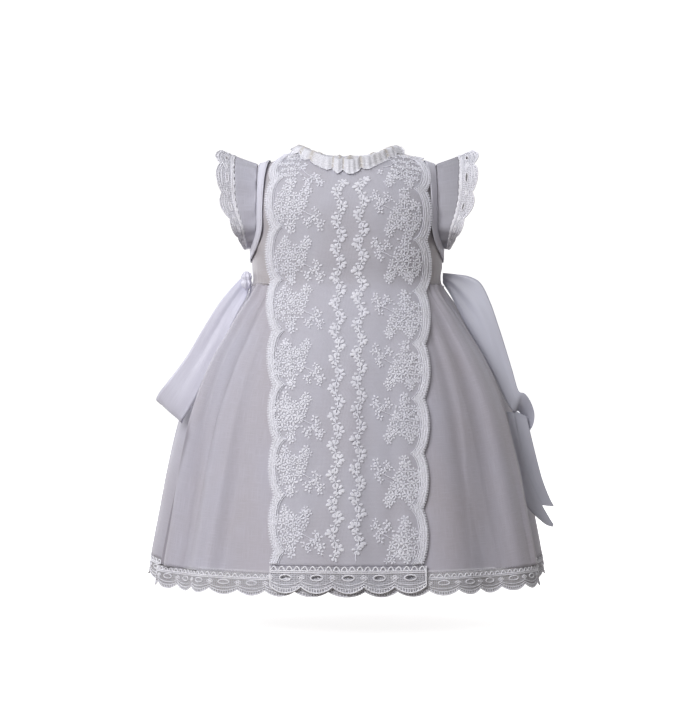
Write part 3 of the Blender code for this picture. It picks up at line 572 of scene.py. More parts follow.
def sheetPiece(name, points, faces, across, down, material, wall, inside, join):
    # a mesh with its cloth coordinates, joined where two edges meet and given its wall
    mesh = bpy.data.meshes.new(name)
    mesh.from_pydata((points * mm).tolist(), [], faces)
    index = np.empty(len(mesh.loops), np.int32)
    mesh.loops.foreach_get("vertex_index", index)
    values = np.stack((across.reshape(-1)[index], down.reshape(-1)[index]), -1) * mm
    mesh.uv_layers.new(name="cloth").data.foreach_set("uv", values.reshape(-1).astype(np.float32))
    mesh.materials.append(material)
    mesh.shade_smooth()
    item = newObject(name, mesh)
    if join:
        item.modifiers.new("join", "WELD").merge_threshold = join * mm
    if wall:
        thick = item.modifiers.new("wall", "SOLIDIFY")
        thick.thickness = wall * mm
        thick.offset = inside
    return item


def runsAlong(points, axis=0):
    # how far each point lies along its line
    steps = np.linalg.norm(np.diff(points, axis=axis), axis=-1)
    return np.insert(np.cumsum(steps, axis=axis), 0, 0.0, axis=axis)


def gridPiece(name, points, material, closed=False, wall=0.4, inside=-1.0, flip=None):
    # a sheet through a grid of points, columns by rows
    if closed:
        points = np.concatenate((points, points[:1]))
    columns, rows = points.shape[:2]
    runs = runsAlong(points)
    across = np.repeat(runs[:, np.argmax(runs[-1])][:, None], rows, axis=1)
    down = runsAlong(points, 1)
    column, row = gridOf(np.arange(columns - 1), np.arange(rows - 1))
    first = (column * rows + row).reshape(-1)
    faces = np.stack((first, first + rows, first + rows + 1, first + 1), -1)
    flat = points.reshape(-1, 3)
    if flip is None:
        normals = np.cross(flat[faces[:, 1]] - flat[faces[:, 0]], flat[faces[:, 3]] - flat[faces[:, 0]])
        middle = flat[faces[:, 0]] * np.array((1.0, 1.0, 0.0))
        flip = (normals * middle).sum() < 0.0
    if flip:
        faces = faces[:, ::-1]
    join = 0.01 if closed else 0.0
    return sheetPiece(name, flat, faces.tolist(), across, down, material, wall, inside, join)


def setPaintedShade(piece, paintedShade):
    # the painted shade of each point, read by the material
    layer = piece.data.attributes.new("paintedShade", "FLOAT", "POINT")
    layer.data.foreach_set("value", paintedShade.reshape(-1).astype(np.float32))


def rides(piece, slot, *nodes):
    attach(piece, "root")
    if nodes:
        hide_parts(*nodes)


# Bodice: organza mounted on cotton, from the waist seam to the neck and armholes
bodice = {
    "columns": 132,
    "rows": 76,
    "creases": (  # across from the centre, height, across, height, half width, depth
        (-88.0, -84.0, -60.0, -104.0, 4.0, 1.3),
        (-90.0, -92.0, -66.0, -120.0, 3.2, -1.2),
        (-80.0, -70.0, -74.0, -98.0, 3.6, -1.0),
        (-84.0, -30.0, -79.0, -64.0, 4.5, 0.9),
        (-96.0, -108.0, -72.0, -122.0, 2.8, 1.0),
        (88.0, -86.0, 64.0, -110.0, 4.2, 1.3),
        (90.0, -98.0, 68.0, -122.0, 3.0, -1.2),
        (82.0, -60.0, 80.0, -96.0, 3.8, -1.1),
        (84.0, -24.0, 82.0, -54.0, 4.4, 0.9),
        (97.0, -104.0, 74.0, -118.0, 2.6, 1.0),
    ),
    "backCreases": (
        (88.0, -82.0, 40.0, -104.0, 5.0, 1.4),
        (86.0, -70.0, 50.0, -84.0, 4.2, -1.2),
        (70.0, -98.0, 30.0, -118.0, 4.6, 1.1),
        (60.0, -20.0, 44.0, -54.0, 5.0, 1.0),
        (20.0, -40.0, 16.0, -96.0, 3.6, -0.8),
        (-88.0, -86.0, -46.0, -100.0, 4.6, 1.3),
        (-84.0, -66.0, -54.0, -90.0, 4.4, -1.2),
        (-66.0, -102.0, -24.0, -116.0, 4.2, 1.1),
        (-58.0, -24.0, -40.0, -50.0, 4.8, 0.9),
        (-22.0, -30.0, -18.0, -84.0, 3.4, -0.8),
    ),
    "puckers": 70,
    "puckerDepth": 0.5,
    "puckerLength": 9.0,
    "armholeTop": 44.0,  # above this height the armhole runs straight
}


def bodiceBearing(share, height):
    return share * 90.0 - share**3 * (90.0 - armholeBearing(height))


def bodicePoints(shares, back, drop, shift, creases):
    columns = []
    for share in shares:
        topX = formPoint(bodiceBearing(share, bodice["armholeTop"]), form["chestHeight"])[0]
        bottom = form["waistHeight"] + 0.5 * form["seamGap"]
        height = bottom + (topHeight(topX, drop) - bottom) * evenSteps(0.0, 1.0, bodice["rows"])
        bearing = bodiceBearing(share, height)
        turned = 180.0 - bearing if back else bearing
        plain = formPoint(turned, height)
        near = np.exp(-(height - bottom) / bodice["puckerLength"])
        pucker = bodice["puckerDepth"] * near * np.sin(bearing * bodice["puckers"] / 57.3)
        rise = creaseRise(plain[:, 0], plain[:, 2], creases) + pucker - 0.2
        columns.append(clothPoint(turned, height, rise) + np.array(shift))
    return np.stack(columns)


def makeBodice():
    clear, half = form["edgeClear"], bodice["columns"] // 2
    for word, node, ends, shift in (
        ("Front", "front", (-1.0, 1.0), (0.0, -clear, 0.0)),
        ("BackLeft", "back_left", (0.0, -1.0), (-clear, clear, 0.0)),
        ("BackRight", "back_right", (0.0, 1.0), (clear, clear, 0.0)),
    ):
        back = word != "Front"
        shares = evenSteps(*ends, half if back else 2 * half)
        drop = form["neckDropBack" if back else "neckDropFront"]
        points = bodicePoints(shares, back, drop, shift, bodice["backCreases" if back else "creases"])
        piece = gridPiece(f"bodice{word}Cloth", points, mountedOrganza, wall=0.6)
        rides(piece, "mounted_organza", f"bodice_{node}")


makeBodice()
print("bodice made")

# Stitches: short capsules stamped along a row


def stitchShape():
    points, faces = [], []
    sides = 6
    for along, radius in ((-0.5, 0.25), (-0.34, 0.5), (0.34, 0.5), (0.5, 0.25)):
        for step in range(sides):
            turn = 2.0 * math.pi * step / sides
            points.append((along, radius * math.cos(turn), radius * math.sin(turn)))
    for ring in range(3):
        for step in range(sides):
            after = (step + 1) % sides
            start = ring * sides
            faces.append((start + step, start + after, start + sides + after, start + sides + step))
    faces.append(tuple(reversed(range(sides))))
    faces.append(tuple(range(3 * sides, 4 * sides)))
    mesh = bpy.data.meshes.new("stitchShape")
    mesh.from_pydata(points, [], [face[::-1] for face in faces])
    return newObject("stitchShape", mesh)


stitch = stitchShape()


def alongLine(place, runs, rows):
    return np.array([np.interp(place, runs, rows[:, axis]) for axis in range(3)])


def stitchesAlong(line, normals, pitch, length, thickness):
    # places of even stitches along a line of points
    line = np.asarray(line)
    runs = runsAlong(line)
    count = max(int(runs[-1] / pitch), 1)
    places = []
    for number in range(count):
        place = (number + 0.5) * runs[-1] / count
        behind, point, ahead = (alongLine(place + step, runs, line) for step in (-0.4, 0.0, 0.4))
        normal = alongLine(place, runs, normals)
        places.append((point + unit(normal) * 0.1, ahead - behind, normal, (length, thickness, thickness)))
    return places


# Skirt: two sheer panels gathered into the waist seam, over a free lining
skirt = {
    "columns": 270,
    "rows": 84,
    "gatherCount": 24,
    "gatherHeight": 2.0,
    "gatherLength": 60.0,
    "gatherFreeBearing": 38.0,
    "fineGathers": 66,
    "fineGatherHeight": 0.8,
    "creases": (  # bearing in degrees as across, height, half width in degrees, depth
        (-72.0, -140.0, -56.5, -272.0, 1.5, 3.2),
        (-56.5, -262.0, -63.5, -420.0, 1.6, 4.4),
        (-77.0, -150.0, -63.0, -280.0, 2.8, -2.6),
        (-62.5, -262.0, -70.5, -420.0, 3.2, -6.5),
        (-63.0, -132.0, -50.0, -300.0, 2.2, 2.4),
        (-58.0, -180.0, -53.0, -380.0, 2.6, -3.2),
        (-52.0, -128.0, -42.0, -250.0, 2.0, -1.8),
        (-47.0, -250.0, -44.0, -396.0, 3.0, 2.8),
        (-38.0, -290.0, -35.0, -394.0, 2.4, -1.8),
        (-20.0, -150.0, -17.0, -340.0, 2.2, 0.6),
        (18.0, -190.0, 21.0, -370.0, 2.2, 0.6),
        (35.0, -150.0, 38.0, -300.0, 2.6, -1.2),
        (42.0, -132.0, 40.0, -340.0, 3.0, 1.3),
        (50.0, -140.0, 46.0, -330.0, 2.8, -1.3),
        (57.0, -130.0, 53.0, -390.0, 3.2, 1.4),
        (76.0, -150.0, 65.0, -330.0, 1.4, 2.8),
        (65.0, -320.0, 62.0, -420.0, 1.5, 3.4),
        (82.0, -160.0, 72.0, -330.0, 2.8, -3.0),
        (72.0, -320.0, 69.0, -420.0, 3.0, -5.5),
    ),
    "backCreases": (
        (102.0, -138.0, 108.0, -320.0, 2.4, 1.6),
        (116.0, -180.0, 113.0, -390.0, 2.0, -1.4),
        (128.0, -134.0, 131.0, -290.0, 2.2, 1.5),
        (144.0, -200.0, 147.0, -392.0, 2.4, -1.5),
        (160.0, -134.0, 163.0, -340.0, 2.2, 1.6),
        (171.0, -150.0, 173.0, -260.0, 1.8, -1.0),
        (186.0, -134.0, 184.0, -300.0, 2.2, 1.4),
        (199.0, -210.0, 202.0, -392.0, 2.2, -1.5),
        (214.0, -136.0, 211.0, -310.0, 2.4, 1.6),
        (229.0, -190.0, 232.0, -390.0, 2.0, -1.4),
        (244.0, -134.0, 241.0, -270.0, 2.2, 1.3),
        (257.0, -170.0, 254.0, -380.0, 2.4, 1.4),
    ),
    "creaseStretch": 0.022,  # creases are long, so their run down counts less than across
    "backDepth": 1.5,
    # painted shade in the crease troughs is full at this depth
    "creaseShadeDepth": 4.5,
    "lightFolds": (  # side, depths below the shoulder, bearings from the front centre
        (-1.0, (140.0, 272.0, 420.0), (73.0, 58.0, 65.0)),
        (1.0, (150.0, 325.0, 420.0), (75.0, 66.0, 63.5)),
    ),
    # painted shade beside the light folds: its width and strength, then the strength of the painted shade in
    # crease troughs
    "shadeWidth": 11.0,
    "shadeTone": 0.9,
    "paintedShadeTone": 0.62,
}


def gatherRise(bearing, height):
    fade = 1.0 - smoothStep((form["waistHeight"] - height) / skirt["gatherLength"])
    clear = smoothStep((np.abs(halfTurn(bearing)) - skirt["gatherFreeBearing"]) / 10.0)
    wave = 0.5 + 0.5 * np.cos(np.radians(bearing) * skirt["gatherCount"])
    return skirt["gatherHeight"] * wave * fade * clear


def fineGatherRise(bearing, height):
    fade = np.exp(-(form["waistHeight"] - height) / (26.0 + 14.0 * np.sin(np.radians(bearing) * 5.0)))
    wave = np.sin(np.radians(bearing) * skirt["fineGathers"] + 1.4 * np.sin(np.radians(bearing) * 9.0))
    return skirt["fineGatherHeight"] * wave * fade


def paintedFoldSideShade(bearing, height):
    # painted shade on the cloth just outside the light fold that runs down each side of the front
    shade = np.zeros(bearing.shape)
    for side, heights, bearings in skirt["lightFolds"]:
        outside = side * halfTurn(bearing) - np.interp(-height, heights, bearings)
        shade += smoothStep(outside / 2.0) * np.exp(-0.5 * (outside / skirt["shadeWidth"] - 1.0) ** 2)
    return skirt["shadeTone"] * shade * smoothStep((-height - 140.0) / 50.0)


def skirtPoints(start, top, shiftY, creases, depth):
    bearing, height = gridOf(
        evenSteps(start, start + 180.0, skirt["columns"]), evenSteps(top, form["hemHeight"], skirt["rows"])
    )
    flat = skirt["creaseStretch"]
    creases = [(a, b * flat, c, d * flat, width, e * depth) for a, b, c, d, width, e in creases]
    crease = creaseRise(bearing, height * flat, creases)
    beside = smoothStep((np.abs(halfTurn(bearing)) - 28.0) / 12.0)
    under = 1.0 - 0.6 * (1.0 - beside)  # calmer under the lace panel
    out = gatherRise(bearing, height) + (crease + fineGatherRise(bearing, height)) * under - 0.1
    # painted shade: darker in the crease troughs and just outside the light folds
    paintedShade = skirt["paintedShadeTone"] * np.clip(-crease / skirt["creaseShadeDepth"], 0.0, 1.0) * under
    paintedShade = np.maximum(paintedShade, paintedFoldSideShade(bearing, height))
    return clothPoint(bearing, height, out) + np.array((0.0, shiftY, 0.0)), paintedShade


def makeSkirt():
    top = form["waistHeight"] + 0.5 * form["seamGap"] - form["edgeClear"]
    for word, start, shiftY, creases, depth, material in (
        ("Front", -90.0, -form["edgeClear"], skirt["creases"], 1.0, organza),
        ("Back", 90.0, form["edgeClear"], skirt["backCreases"], skirt["backDepth"], backOrganza),
    ):
        points, paintedShade = skirtPoints(start, top, shiftY, creases, depth)
        piece = gridPiece(f"skirt{word}Organza", points, material, wall=0.35)
        setPaintedShade(piece, paintedShade)
        rides(piece, "organza", f"skirt_{word.lower()}")


makeSkirt()

lining = {
    "columns": 200,
    "rows": 60,
    "top": -127.0,
    "bottom": -392.5,
    "hemWidth": 9.0,
    "gap": 3.0,  # inside the organza at the waist
    "gapGrowth": 7.0,
    "waveDepth": 0.7,
}


def makeLining():
    heights = evenSteps(lining["top"], lining["bottom"], lining["rows"])
    bearing, height = gridOf(evenSteps(0.0, 360.0, lining["columns"])[:-1], heights)
    drop = (form["waistHeight"] - height) / (form["waistHeight"] - form["hemHeight"])
    inward = lining["gap"] + lining["gapGrowth"] * drop**0.5 + 0.15 * foldRise(bearing, height)
    wave = lining["waveDepth"] * np.sin(np.radians(bearing) * 17.0 + 2.0 * np.sin(np.radians(bearing) * 3.0))
    turned = smoothStep((height - lining["bottom"] - lining["hemWidth"]) / -1.2) * 0.3  # turned-up hem
    points = clothPoint(bearing, height, -inward + wave * drop + turned)
    piece = gridPiece("skirtLiningCloth", points, batiste, closed=True)
    rides(piece, "lining", "skirt_lining")


makeLining()
print("skirt and lining made")

# Trimming lace: one charted repeat, in shares across and down the lace
laceRepeat = {
    "topLines": (0.19, 0.26),
    "edgeLine": 0.03,
    "loopsPerRepeat": 4,
    "eyelet": (0.5, 0.44, 0.19, 0.105),
    "flowerRadius": (0.11, 0.095),
    "innerArc": (0.56, 0.15),
    "middleArc": (0.65, 0.20),
    "edgeArc": (0.75, 0.25),
    "bars": 11,
}
sleeveEyelet = (0.5, 0.42, 0.17, 0.085)
sleeveRepeat = dict(laceRepeat, topLines=(0.10, 0.17), eyelet=sleeveEyelet, flowerRadius=(0.15, 0.10))


def belly(across):
    # the round of a scallop that is one wide: 0 at its ends, 1 in its middle
    return np.abs(np.sin(math.pi * across)) ** 0.8


def arcLine(start, depth, count=14):
    across = evenSteps(0.0, 1.0, count)
    return np.stack((across, start + depth * belly(across)), -1)


def ringLine(centreAcross, centreDown, radiusAcross, radiusDown, count=14):
    turn = evenSteps(0.0, 2.0 * math.pi, count)
    return np.stack((centreAcross + radiusAcross * np.cos(turn), centreDown + radiusDown * np.sin(turn)), -1)


def laceLines(chart):
    # heavy threads and fine threads of one repeat
    centreDown = chart["eyelet"][1]
    heavy = [ringLine(*chart["eyelet"], 16), arcLine(*chart["edgeArc"], 16)]
    fine = [arcLine(*chart["innerArc"]), arcLine(*chart["middleArc"])]
    share = evenSteps(0.0, 1.0, 6)
    for down in chart["topLines"]:
        heavy.append(np.stack((share, np.full(7, down)), -1))
    top, low = chart["edgeLine"], chart["topLines"][0]
    for number in range(chart["loopsPerRepeat"]):
        across = (number + 0.08 + 0.84 * share) / chart["loopsPerRepeat"]
        heavy.append(np.stack((across, low - (low - top) * np.sin(math.pi * share)), -1))
    radiusAcross, radiusDown = chart["flowerRadius"]
    for turn in (0.0, 0.5, 1.0, 1.5):
        centre = (0.5 * radiusAcross * math.cos(math.pi * turn), 0.5 * radiusDown * math.sin(math.pi * turn))
        fine.append(ringLine(centre[0], centreDown + centre[1], 0.55 * radiusAcross, 0.5 * radiusDown, 8))
    for across in evenSteps(0.0, 1.0, chart["bars"] + 1)[1:-1]:
        ends = [start + depth * belly(across) for start, depth in (chart["middleArc"], chart["edgeArc"])]
        fine.append(np.array([(across, down) for down in ends]))
    return heavy, fine


def laceCloth(name, repeats, place, material, drop, chart=laceRepeat, hole=1.0):
    # lace ground as two strips, above and below the eyelets, which meet between them
    centreAcross, centreDown, radiusAcross, radiusDown = chart["eyelet"]
    inner = [radiusAcross * math.cos(math.pi * share) for share in (1.0, 0.8, 0.6, 0.4, 0.2, 0.0)]
    shares = [0.0, 0.1, 0.2] + [centreAcross + value for value in inner] + [0.8, 0.9]
    across = np.array([number + share for number in range(repeats) for share in shares] + [repeats])
    share = across % 1.0
    half = hole * radiusDown * np.sqrt(np.clip(1.0 - ((share - centreAcross) / radiusAcross) ** 2, 0.0, 1.0))
    start, depth = chart["edgeArc"]
    bottom = start + depth * belly(share)
    upper = np.stack([(centreDown - half) * s for s in evenSteps(0.0, 1.0, 3)], -1)
    under = centreDown + half
    lower = np.stack([under + (bottom - under) * s for s in evenSteps(0.0, 1.0, 4)], -1)
    points, downs, acrosses, faces = [], [], [], []
    for rows in (upper, lower):
        first, count = len(points), rows.shape[1]
        points.extend(place(np.repeat(across[:, None], count, axis=1), rows).reshape(-1, 3))
        acrosses.extend(np.repeat(across * drop * 1.3, count))
        downs.extend((rows * drop).reshape(-1))
        for column in range(len(across) - 1):
            for row in range(count - 1):
                corner = first + column * count + row
                faces.append((corner, corner + 1, corner + count + 1, corner + count))
    points, across, down = np.array(points), np.array(acrosses), np.array(downs)
    return sheetPiece(name, points, faces, across, down, material, wall=0.3, inside=0.0, join=0.02)


def laceThreads(name, repeats, place, heavyRadius, fineRadius, chart=laceRepeat):
    down = evenSteps(0.02, chart["edgeArc"][0], 4)
    kinds = (("Heavy", heavyRadius, 5), ("Fine", fineRadius, 4))
    for (word, radius, sides), lines in zip(kinds, laceLines(chart)):
        placed = [place(line[:, 0] + number, line[:, 1]) for number in range(repeats) for line in lines]
        if word == "Heavy":  # the two cut ends
            placed += [place(np.full(5, float(end)), down) for end in (0, repeats)]
        rides(threadPiece(name + word, placed, radius, laceThread, sides), "lace")


hemLace = {"repeatsPerHalf": 21, "drop": 20.0, "heavyRadius": 0.6, "fineRadius": 0.4, "groundDepth": -0.3}


def makeHemLace():
    top = form["hemHeight"] - form["seamGap"]
    repeats = hemLace["repeatsPerHalf"]
    lap = form["seamGap"] - form["edgeClear"]  # the ground's top row reaches up to the organza
    for word, start, shiftY in (("Front", -90.0, -form["edgeClear"]), ("Back", 90.0, form["edgeClear"])):

        def place(across, down, out=hemLace["groundDepth"], lap=lap, start=start, shiftY=shiftY):
            bearing = start + 180.0 * across / repeats
            height = top - down * (hemLace["drop"] - form["seamGap"]) + lap * (np.asarray(down) <= 0.0)
            return clothPoint(bearing, height, np.full(np.shape(height), out)) + np.array((0.0, shiftY, 0.0))

        # The eyelets are filled with the dark ground: painted shade in place of the shaded inside of the
        # skirt seen through them.
        cloth = laceCloth(f"hemLace{word}Ground", repeats, place, hemLaceShadedGround, hemLace["drop"], hole=0.0)
        rides(cloth, "lace", f"skirt_hem_lace_{word.lower()}")
        onTop = lambda across, down: place(across, down, 0.0, 0.0)
        laceThreads(f"hemLace{word}Threads", repeats, onTop, hemLace["heavyRadius"], hemLace["fineRadius"])


makeHemLace()
print("hem lace made")

# Lace panel: net ground, raised scalloped borders, flowers, sprigs and two leafy vines
panel = {
    "leftTop": -76.0,
    "leftHem": -70.0,
    "rightTop": 79.0,
    "rightHem": 73.0,
    "hemHeight": -388.0,
    "scallop": 51.0,
    "scallopDepth": 5.0,
    "rise": 2.9,
    "freeTop": -31.0,
    "topDrop": 2.6,
    "softFolds": 0.5,
    "borderWidth": 6.6,
    "borderGrowth": 4.5,  # wider where two scallops meet
    "borderHeight": 0.35,
    "picotSpacing": 2.5,
    "picotSize": (2.7, 2.3, 2.4),
    "cordRadius": 0.42,
    "neckNarrowing": (13.0, 5.0),  # at the shoulder, left and right
    "stitchRows": ((0.2, 62.0, 3.1), (0.52, -58.0, 3.3), (0.86, 66.0, 2.9)),  # share across, slant, length
    "stitchSpacing": 1.95,
}


def panelEdges(height):
    span = form["shoulderHeight"] - form["hemHeight"]
    drop = smoothStep((form["shoulderHeight"] - height) / span)
    left = panel["leftTop"] + (panel["leftHem"] - panel["leftTop"]) * drop
    right = panel["rightTop"] + (panel["rightHem"] - panel["rightTop"]) * drop
    phase = (height - panel["hemHeight"]) / panel["scallop"]
    leftBelly, rightBelly = belly(phase - 0.25), belly(phase)
    right = right + panel["scallopDepth"] * (rightBelly - 0.7)
    left = left - panel["scallopDepth"] * (leftBelly - 0.7)
    climb = smoothStep((height + 20.0) / 60.0)
    narrowLeft, narrowRight = panel["neckNarrowing"]
    return left + narrowLeft * climb, right - narrowRight * climb, leftBelly, rightBelly


def panelPoint(x, height, rise):
    x, height = sameShape(x, height)
    freeTop = panel["freeTop"]
    neck = topHeight(x, form["neckDropFront"]) - panel["topDrop"]
    shaped = freeTop + (height - freeTop) * (neck - freeTop) / (shoulderTop - freeTop)
    height = np.where(height > freeTop, shaped, height)
    soft = np.sin(x / 7.0 + 1.2 * np.sin(height / 60.0)) + 0.6 * np.sin(x / 3.9 + 2.0 + height / 150.0)
    out = rise + panel["softFolds"] * soft * smoothStep((-130.0 - height) / 120.0)
    return clothPoint(bearingOf(x, height), height, out) + np.array((0.0, -0.2, 0.0))


def makePanelNet():
    share, height = gridOf(evenSteps(-1.0, 1.0, 64), evenSteps(panel["hemHeight"], shoulderTop, 190))
    left, right, _, _ = panelEdges(height)
    x = 0.5 * (left + right) + 0.5 * share * (right - left)
    piece = gridPiece("panelNetCloth", panelPoint(x, height, panel["rise"]), netGround, wall=0.3)
    rides(piece, "net_lace", "lace_panel")


makePanelNet()


def borderPlace(side, height, share=0.0, extra=0.0):
    # x of a place on the left (0) or right (1) border: a share of its width inwards, and millimetres
    edges = panelEdges(height)
    width = panel["borderWidth"] + panel["borderGrowth"] * (1.0 - edges[2 + side]) ** 3
    inward = 1.0 - 2.0 * side
    return edges[side] + inward * (width * share + extra)


def makePanelBorders():
    picots, cords = [], []
    bottom, rise = panel["hemHeight"], panel["rise"]
    for word, side in (("Left", 0), ("Right", 1)):
        share, height = gridOf(evenSteps(0.0, 1.0, 7), evenSteps(bottom + 0.4, shoulderTop - 1.0, 300))
        crown = np.sin(math.pi * np.clip(0.04 + 0.92 * share, 0.0, 1.0)) ** 0.6
        step = 0.12 * np.sin(height * 2.0 * math.pi / 3.1)
        out = rise + 0.15 + (panel["borderHeight"] + step) * crown
        points = panelPoint(borderPlace(side, height, share), height, out)
        rides(gridPiece(f"panelBorder{word}", points, borderLace), "net_lace")
        line = evenSteps(bottom + 1.0, shoulderTop - 4.0, 420)
        cords.append(panelPoint(borderPlace(side, line, 1.0, 1.0), line, rise + 0.4))
        picotLine = panelPoint(borderPlace(side, line, 0.0, 1.3), line, rise + 0.35)
        runs = runsAlong(picotLine)
        outward = 2.0 * side - 1.0
        for place in np.arange(1.0, runs[-1], panel["picotSpacing"]):
            point = alongLine(place, runs, picotLine)
            picots.append((point, (outward, 0.0, 0.0), (0.35 * outward, -1.0, 0.1), panel["picotSize"]))
    rides(stampPiece("panelPicots", picots, roundPetal, embroideryThread), "net_lace")
    rides(threadPiece("panelBorderCords", cords, panel["cordRadius"], embroideryThread), "net_lace")


def makeBorderStitches():
    generator = np.random.default_rng(5)
    rise = panel["rise"]
    places = []
    for side in (0, 1):
        inward = 1.0 - 2.0 * side
        for share, slant, length in panel["stitchRows"]:
            line = np.arange(panel["hemHeight"] + 2.0, shoulderTop - 3.0, panel["stitchSpacing"])
            jitter = generator.uniform(-1.0, 1.0, (len(line), 3))
            x = borderPlace(side, line, share + 0.05 * jitter[:, 0])
            points = panelPoint(x, line, rise + 0.35)
            ahead = unit(panelPoint(x, line + 0.5, rise) - panelPoint(x, line - 0.5, rise))
            across = unit(panelPoint(x + 0.5, line, rise) - panelPoint(x - 0.5, line, rise))
            for number in range(len(line)):
                turn = math.radians(slant + 14.0 * jitter[number, 1])
                direction = across[number] * inward * math.cos(turn) + ahead[number] * math.sin(turn)
                normal = np.cross(across[number], ahead[number])
                size = length * (1.0 + 0.15 * jitter[number, 2])
                start = points[number] - direction * 0.5 * size
                places.append((start, direction, normal, (size, size * 0.8, size * 1.5)))
    rides(stampPiece("panelBorderStitches", places, petal, embroideryThread), "net_lace")


petal = petalShape("petalShape", 0.74, 0.11)
roundPetal = petalShape("roundPetalShape", 0.84, 0.14)
makePanelBorders()
makeBorderStitches()

# The motif: a dense cluster of small flowers with a sprig beside it, charted in millimetres
# from the cluster's middle. The left side shows it half turned.
motif = {
    "flowers": (
        (0.0, 25.5), (-1.5, 19.0), (3.2, 19.5), (-3.0, 13.0), (3.0, 12.5), (9.0, 13.5), (14.0, 11.0),
        (-9.0, 6.5), (-3.0, 7.0), (2.6, 6.0), (8.4, 7.6), (14.2, 5.0), (-12.2, 0.6), (-6.4, 1.4),
        (-0.8, 0.2), (5.0, 1.2), (10.6, 0.4), (15.6, -0.8), (-14.0, -5.0), (-8.2, -4.6), (-2.4, -5.6),
        (3.4, -4.8), (9.0, -5.4), (14.2, -6.2), (-15.2, -11.0), (-9.2, -10.2), (-3.4, -11.4),
        (2.6, -10.4), (8.4, -11.2), (12.6, -11.8), (-18.0, -15.4), (-11.8, -15.6), (2.2, -16.0),
        (7.8, -16.6), (-15.6, -19.6), (6.2, -20.4),
    ),
    "sprig": (
        (-29.0, 23.0), (-31.2, 17.0), (-27.0, 18.4), (-17.6, 20.6), (-14.8, 16.4), (-20.8, 14.0),
        (-27.4, 8.4), (-24.0, 4.2), (-24.8, 12.6),
    ),
    "buds": ((-8.8, 12.6), (-3.6, 23.4), (3.8, 24.6)),
    "stems": (
        ((-6.0, 2.0), (-12.0, 5.4), (-18.0, 8.6), (-24.0, 11.0)),
        ((-24.0, 11.0), (-27.0, 16.0), (-29.0, 22.0)),
        ((-22.0, 10.2), (-18.0, 16.0), (-16.0, 19.6)),
        ((-24.0, 11.0), (-26.0, 7.0), (-24.6, 4.6)),
        ((0.0, 6.0), (0.6, 14.0), (0.2, 25.0)),
        ((0.0, -2.0), (-8.0, -9.0), (-17.0, -18.0)),
        ((2.0, -4.0), (5.0, -12.0), (6.4, -20.0)),
        ((2.0, 3.0), (8.0, 8.0), (14.0, 11.0)),
    ),
    "scale": 0.93,
    "flowerPetal": 3.25,
    "sprigPetal": 3.3,
    "stemRadius": 0.45,
    "clearance": 7.5,  # of a flower from the panel's edge
    "stemClearance": 5.0,
    "left": (-7.0, -50.0, -100.0, -147.0, -200.0, -250.0, -300.0, -355.0),
    "right": (-12.0, -59.0, -104.0, -158.0, -207.0, -256.0, -314.0, -369.0),
    "leftPlace": (-53.0, -51.0),
    "rightPlace": (54.5, 53.5),
}


def panelPlace(x, z, rise):
    # point, right and up directions and normal on the panel at a place seen from the front
    height = heightOf(x, z)
    ends = panelPoint(np.array((x, x + 0.5, x)), np.array((height, height, height + 0.5)), rise)
    right, up = unit(ends[1] - ends[0]), unit(ends[2] - ends[0])
    return ends[0], right, up, unit(np.cross(right, up))


def insidePanel(x, z, clearance):
    height = float(heightOf(x, z))
    left, right, _, _ = panelEdges(height)
    neck = topHeight(x, form["neckDropFront"]) - 5.0
    return left + clearance < x < right - clearance and panel["hemHeight"] + 4.0 < height < neck


def stemLine(stem, centreX, centreZ, scale):
    # points along a stem of the chart, where they lie within the panel
    chart = np.array(stem)
    run = evenSteps(0.0, len(stem) - 1.0, 8)
    line = []
    for dx, dz in zip(*(np.interp(run, np.arange(len(stem)), chart[:, axis]) for axis in (0, 1))):
        x, z = centreX + dx * scale, centreZ + dz * scale
        if insidePanel(x, z, motif["stemClearance"]):
            line.append(panelPlace(x, z, panel["rise"] + 0.4)[0])
    return np.array(line)


def makeMotifs():
    generator = np.random.default_rng(7)
    flowers, stems = [], []
    spots = [(spot, motif["flowerPetal"], 5) for spot in motif["flowers"]]
    spots += [(spot, motif["sprigPetal"], 4) for spot in motif["sprig"]]
    spots += [(spot, motif["sprigPetal"], 2) for spot in motif["buds"]]
    for word, sign in (("left", -1.0), ("right", 1.0)):
        start, end = motif[word + "Place"]
        scale = motif["scale"] * sign
        for number, centreZ in enumerate(motif[word]):
            centreX = start + (end - start) * number / (len(motif[word]) - 1)
            for (dx, dz), size, count in spots:
                jitter = generator.uniform(-0.5, 0.5, 4)
                x, z = centreX + dx * scale + jitter[0], centreZ + dz * scale + jitter[1]
                if not insidePanel(x, z, motif["clearance"]):
                    continue
                point, right, up, normal = panelPlace(x, z, panel["rise"] + 0.25)
                turnStart = generator.uniform(0.0, 2.0 * math.pi)
                size = size * (1.0 + 0.3 * jitter[2])
                for turn in turnStart + evenSteps(0.0, 2.0 * math.pi, count)[:-1]:
                    direction = right * math.cos(turn) + up * math.sin(turn)
                    flowers.append((point + direction * 0.25, direction, normal, (size, size, size * 1.2)))
            lines = [stemLine(stem, centreX, centreZ, scale) for stem in motif["stems"]]
            stems += [line for line in lines if len(line) > 2]
    rides(stampPiece("panelFlowers", flowers, petal, embroideryThread), "net_lace")
    rides(threadPiece("panelStems", stems, motif["stemRadius"], embroideryThread, 4), "net_lace")


makeMotifs()

vines = {
    "tops": (-6.8, 14.2),
    "bottoms": (-11.2, 9.4),
    "startZ": -20.0,
    "endZ": -384.0,
    "firstBunch": (-24.0, -18.5),
    "bunchSpacing": 13.4,
    "stemRadius": 0.5,
    # each leaf's turn from straight out in degrees, and its length
    "fan": ((88.0, 4.6), (40.0, 5.7), (-8.0, 6.0), (-54.0, 5.3), (150.0, 4.4), (-138.0, 4.1)),
    "between": ((54.0, 4.6), (2.0, 3.9), (-66.0, 4.4), (176.0, 4.3), (-120.0, 4.1)),
    "sway": 1.3,
}


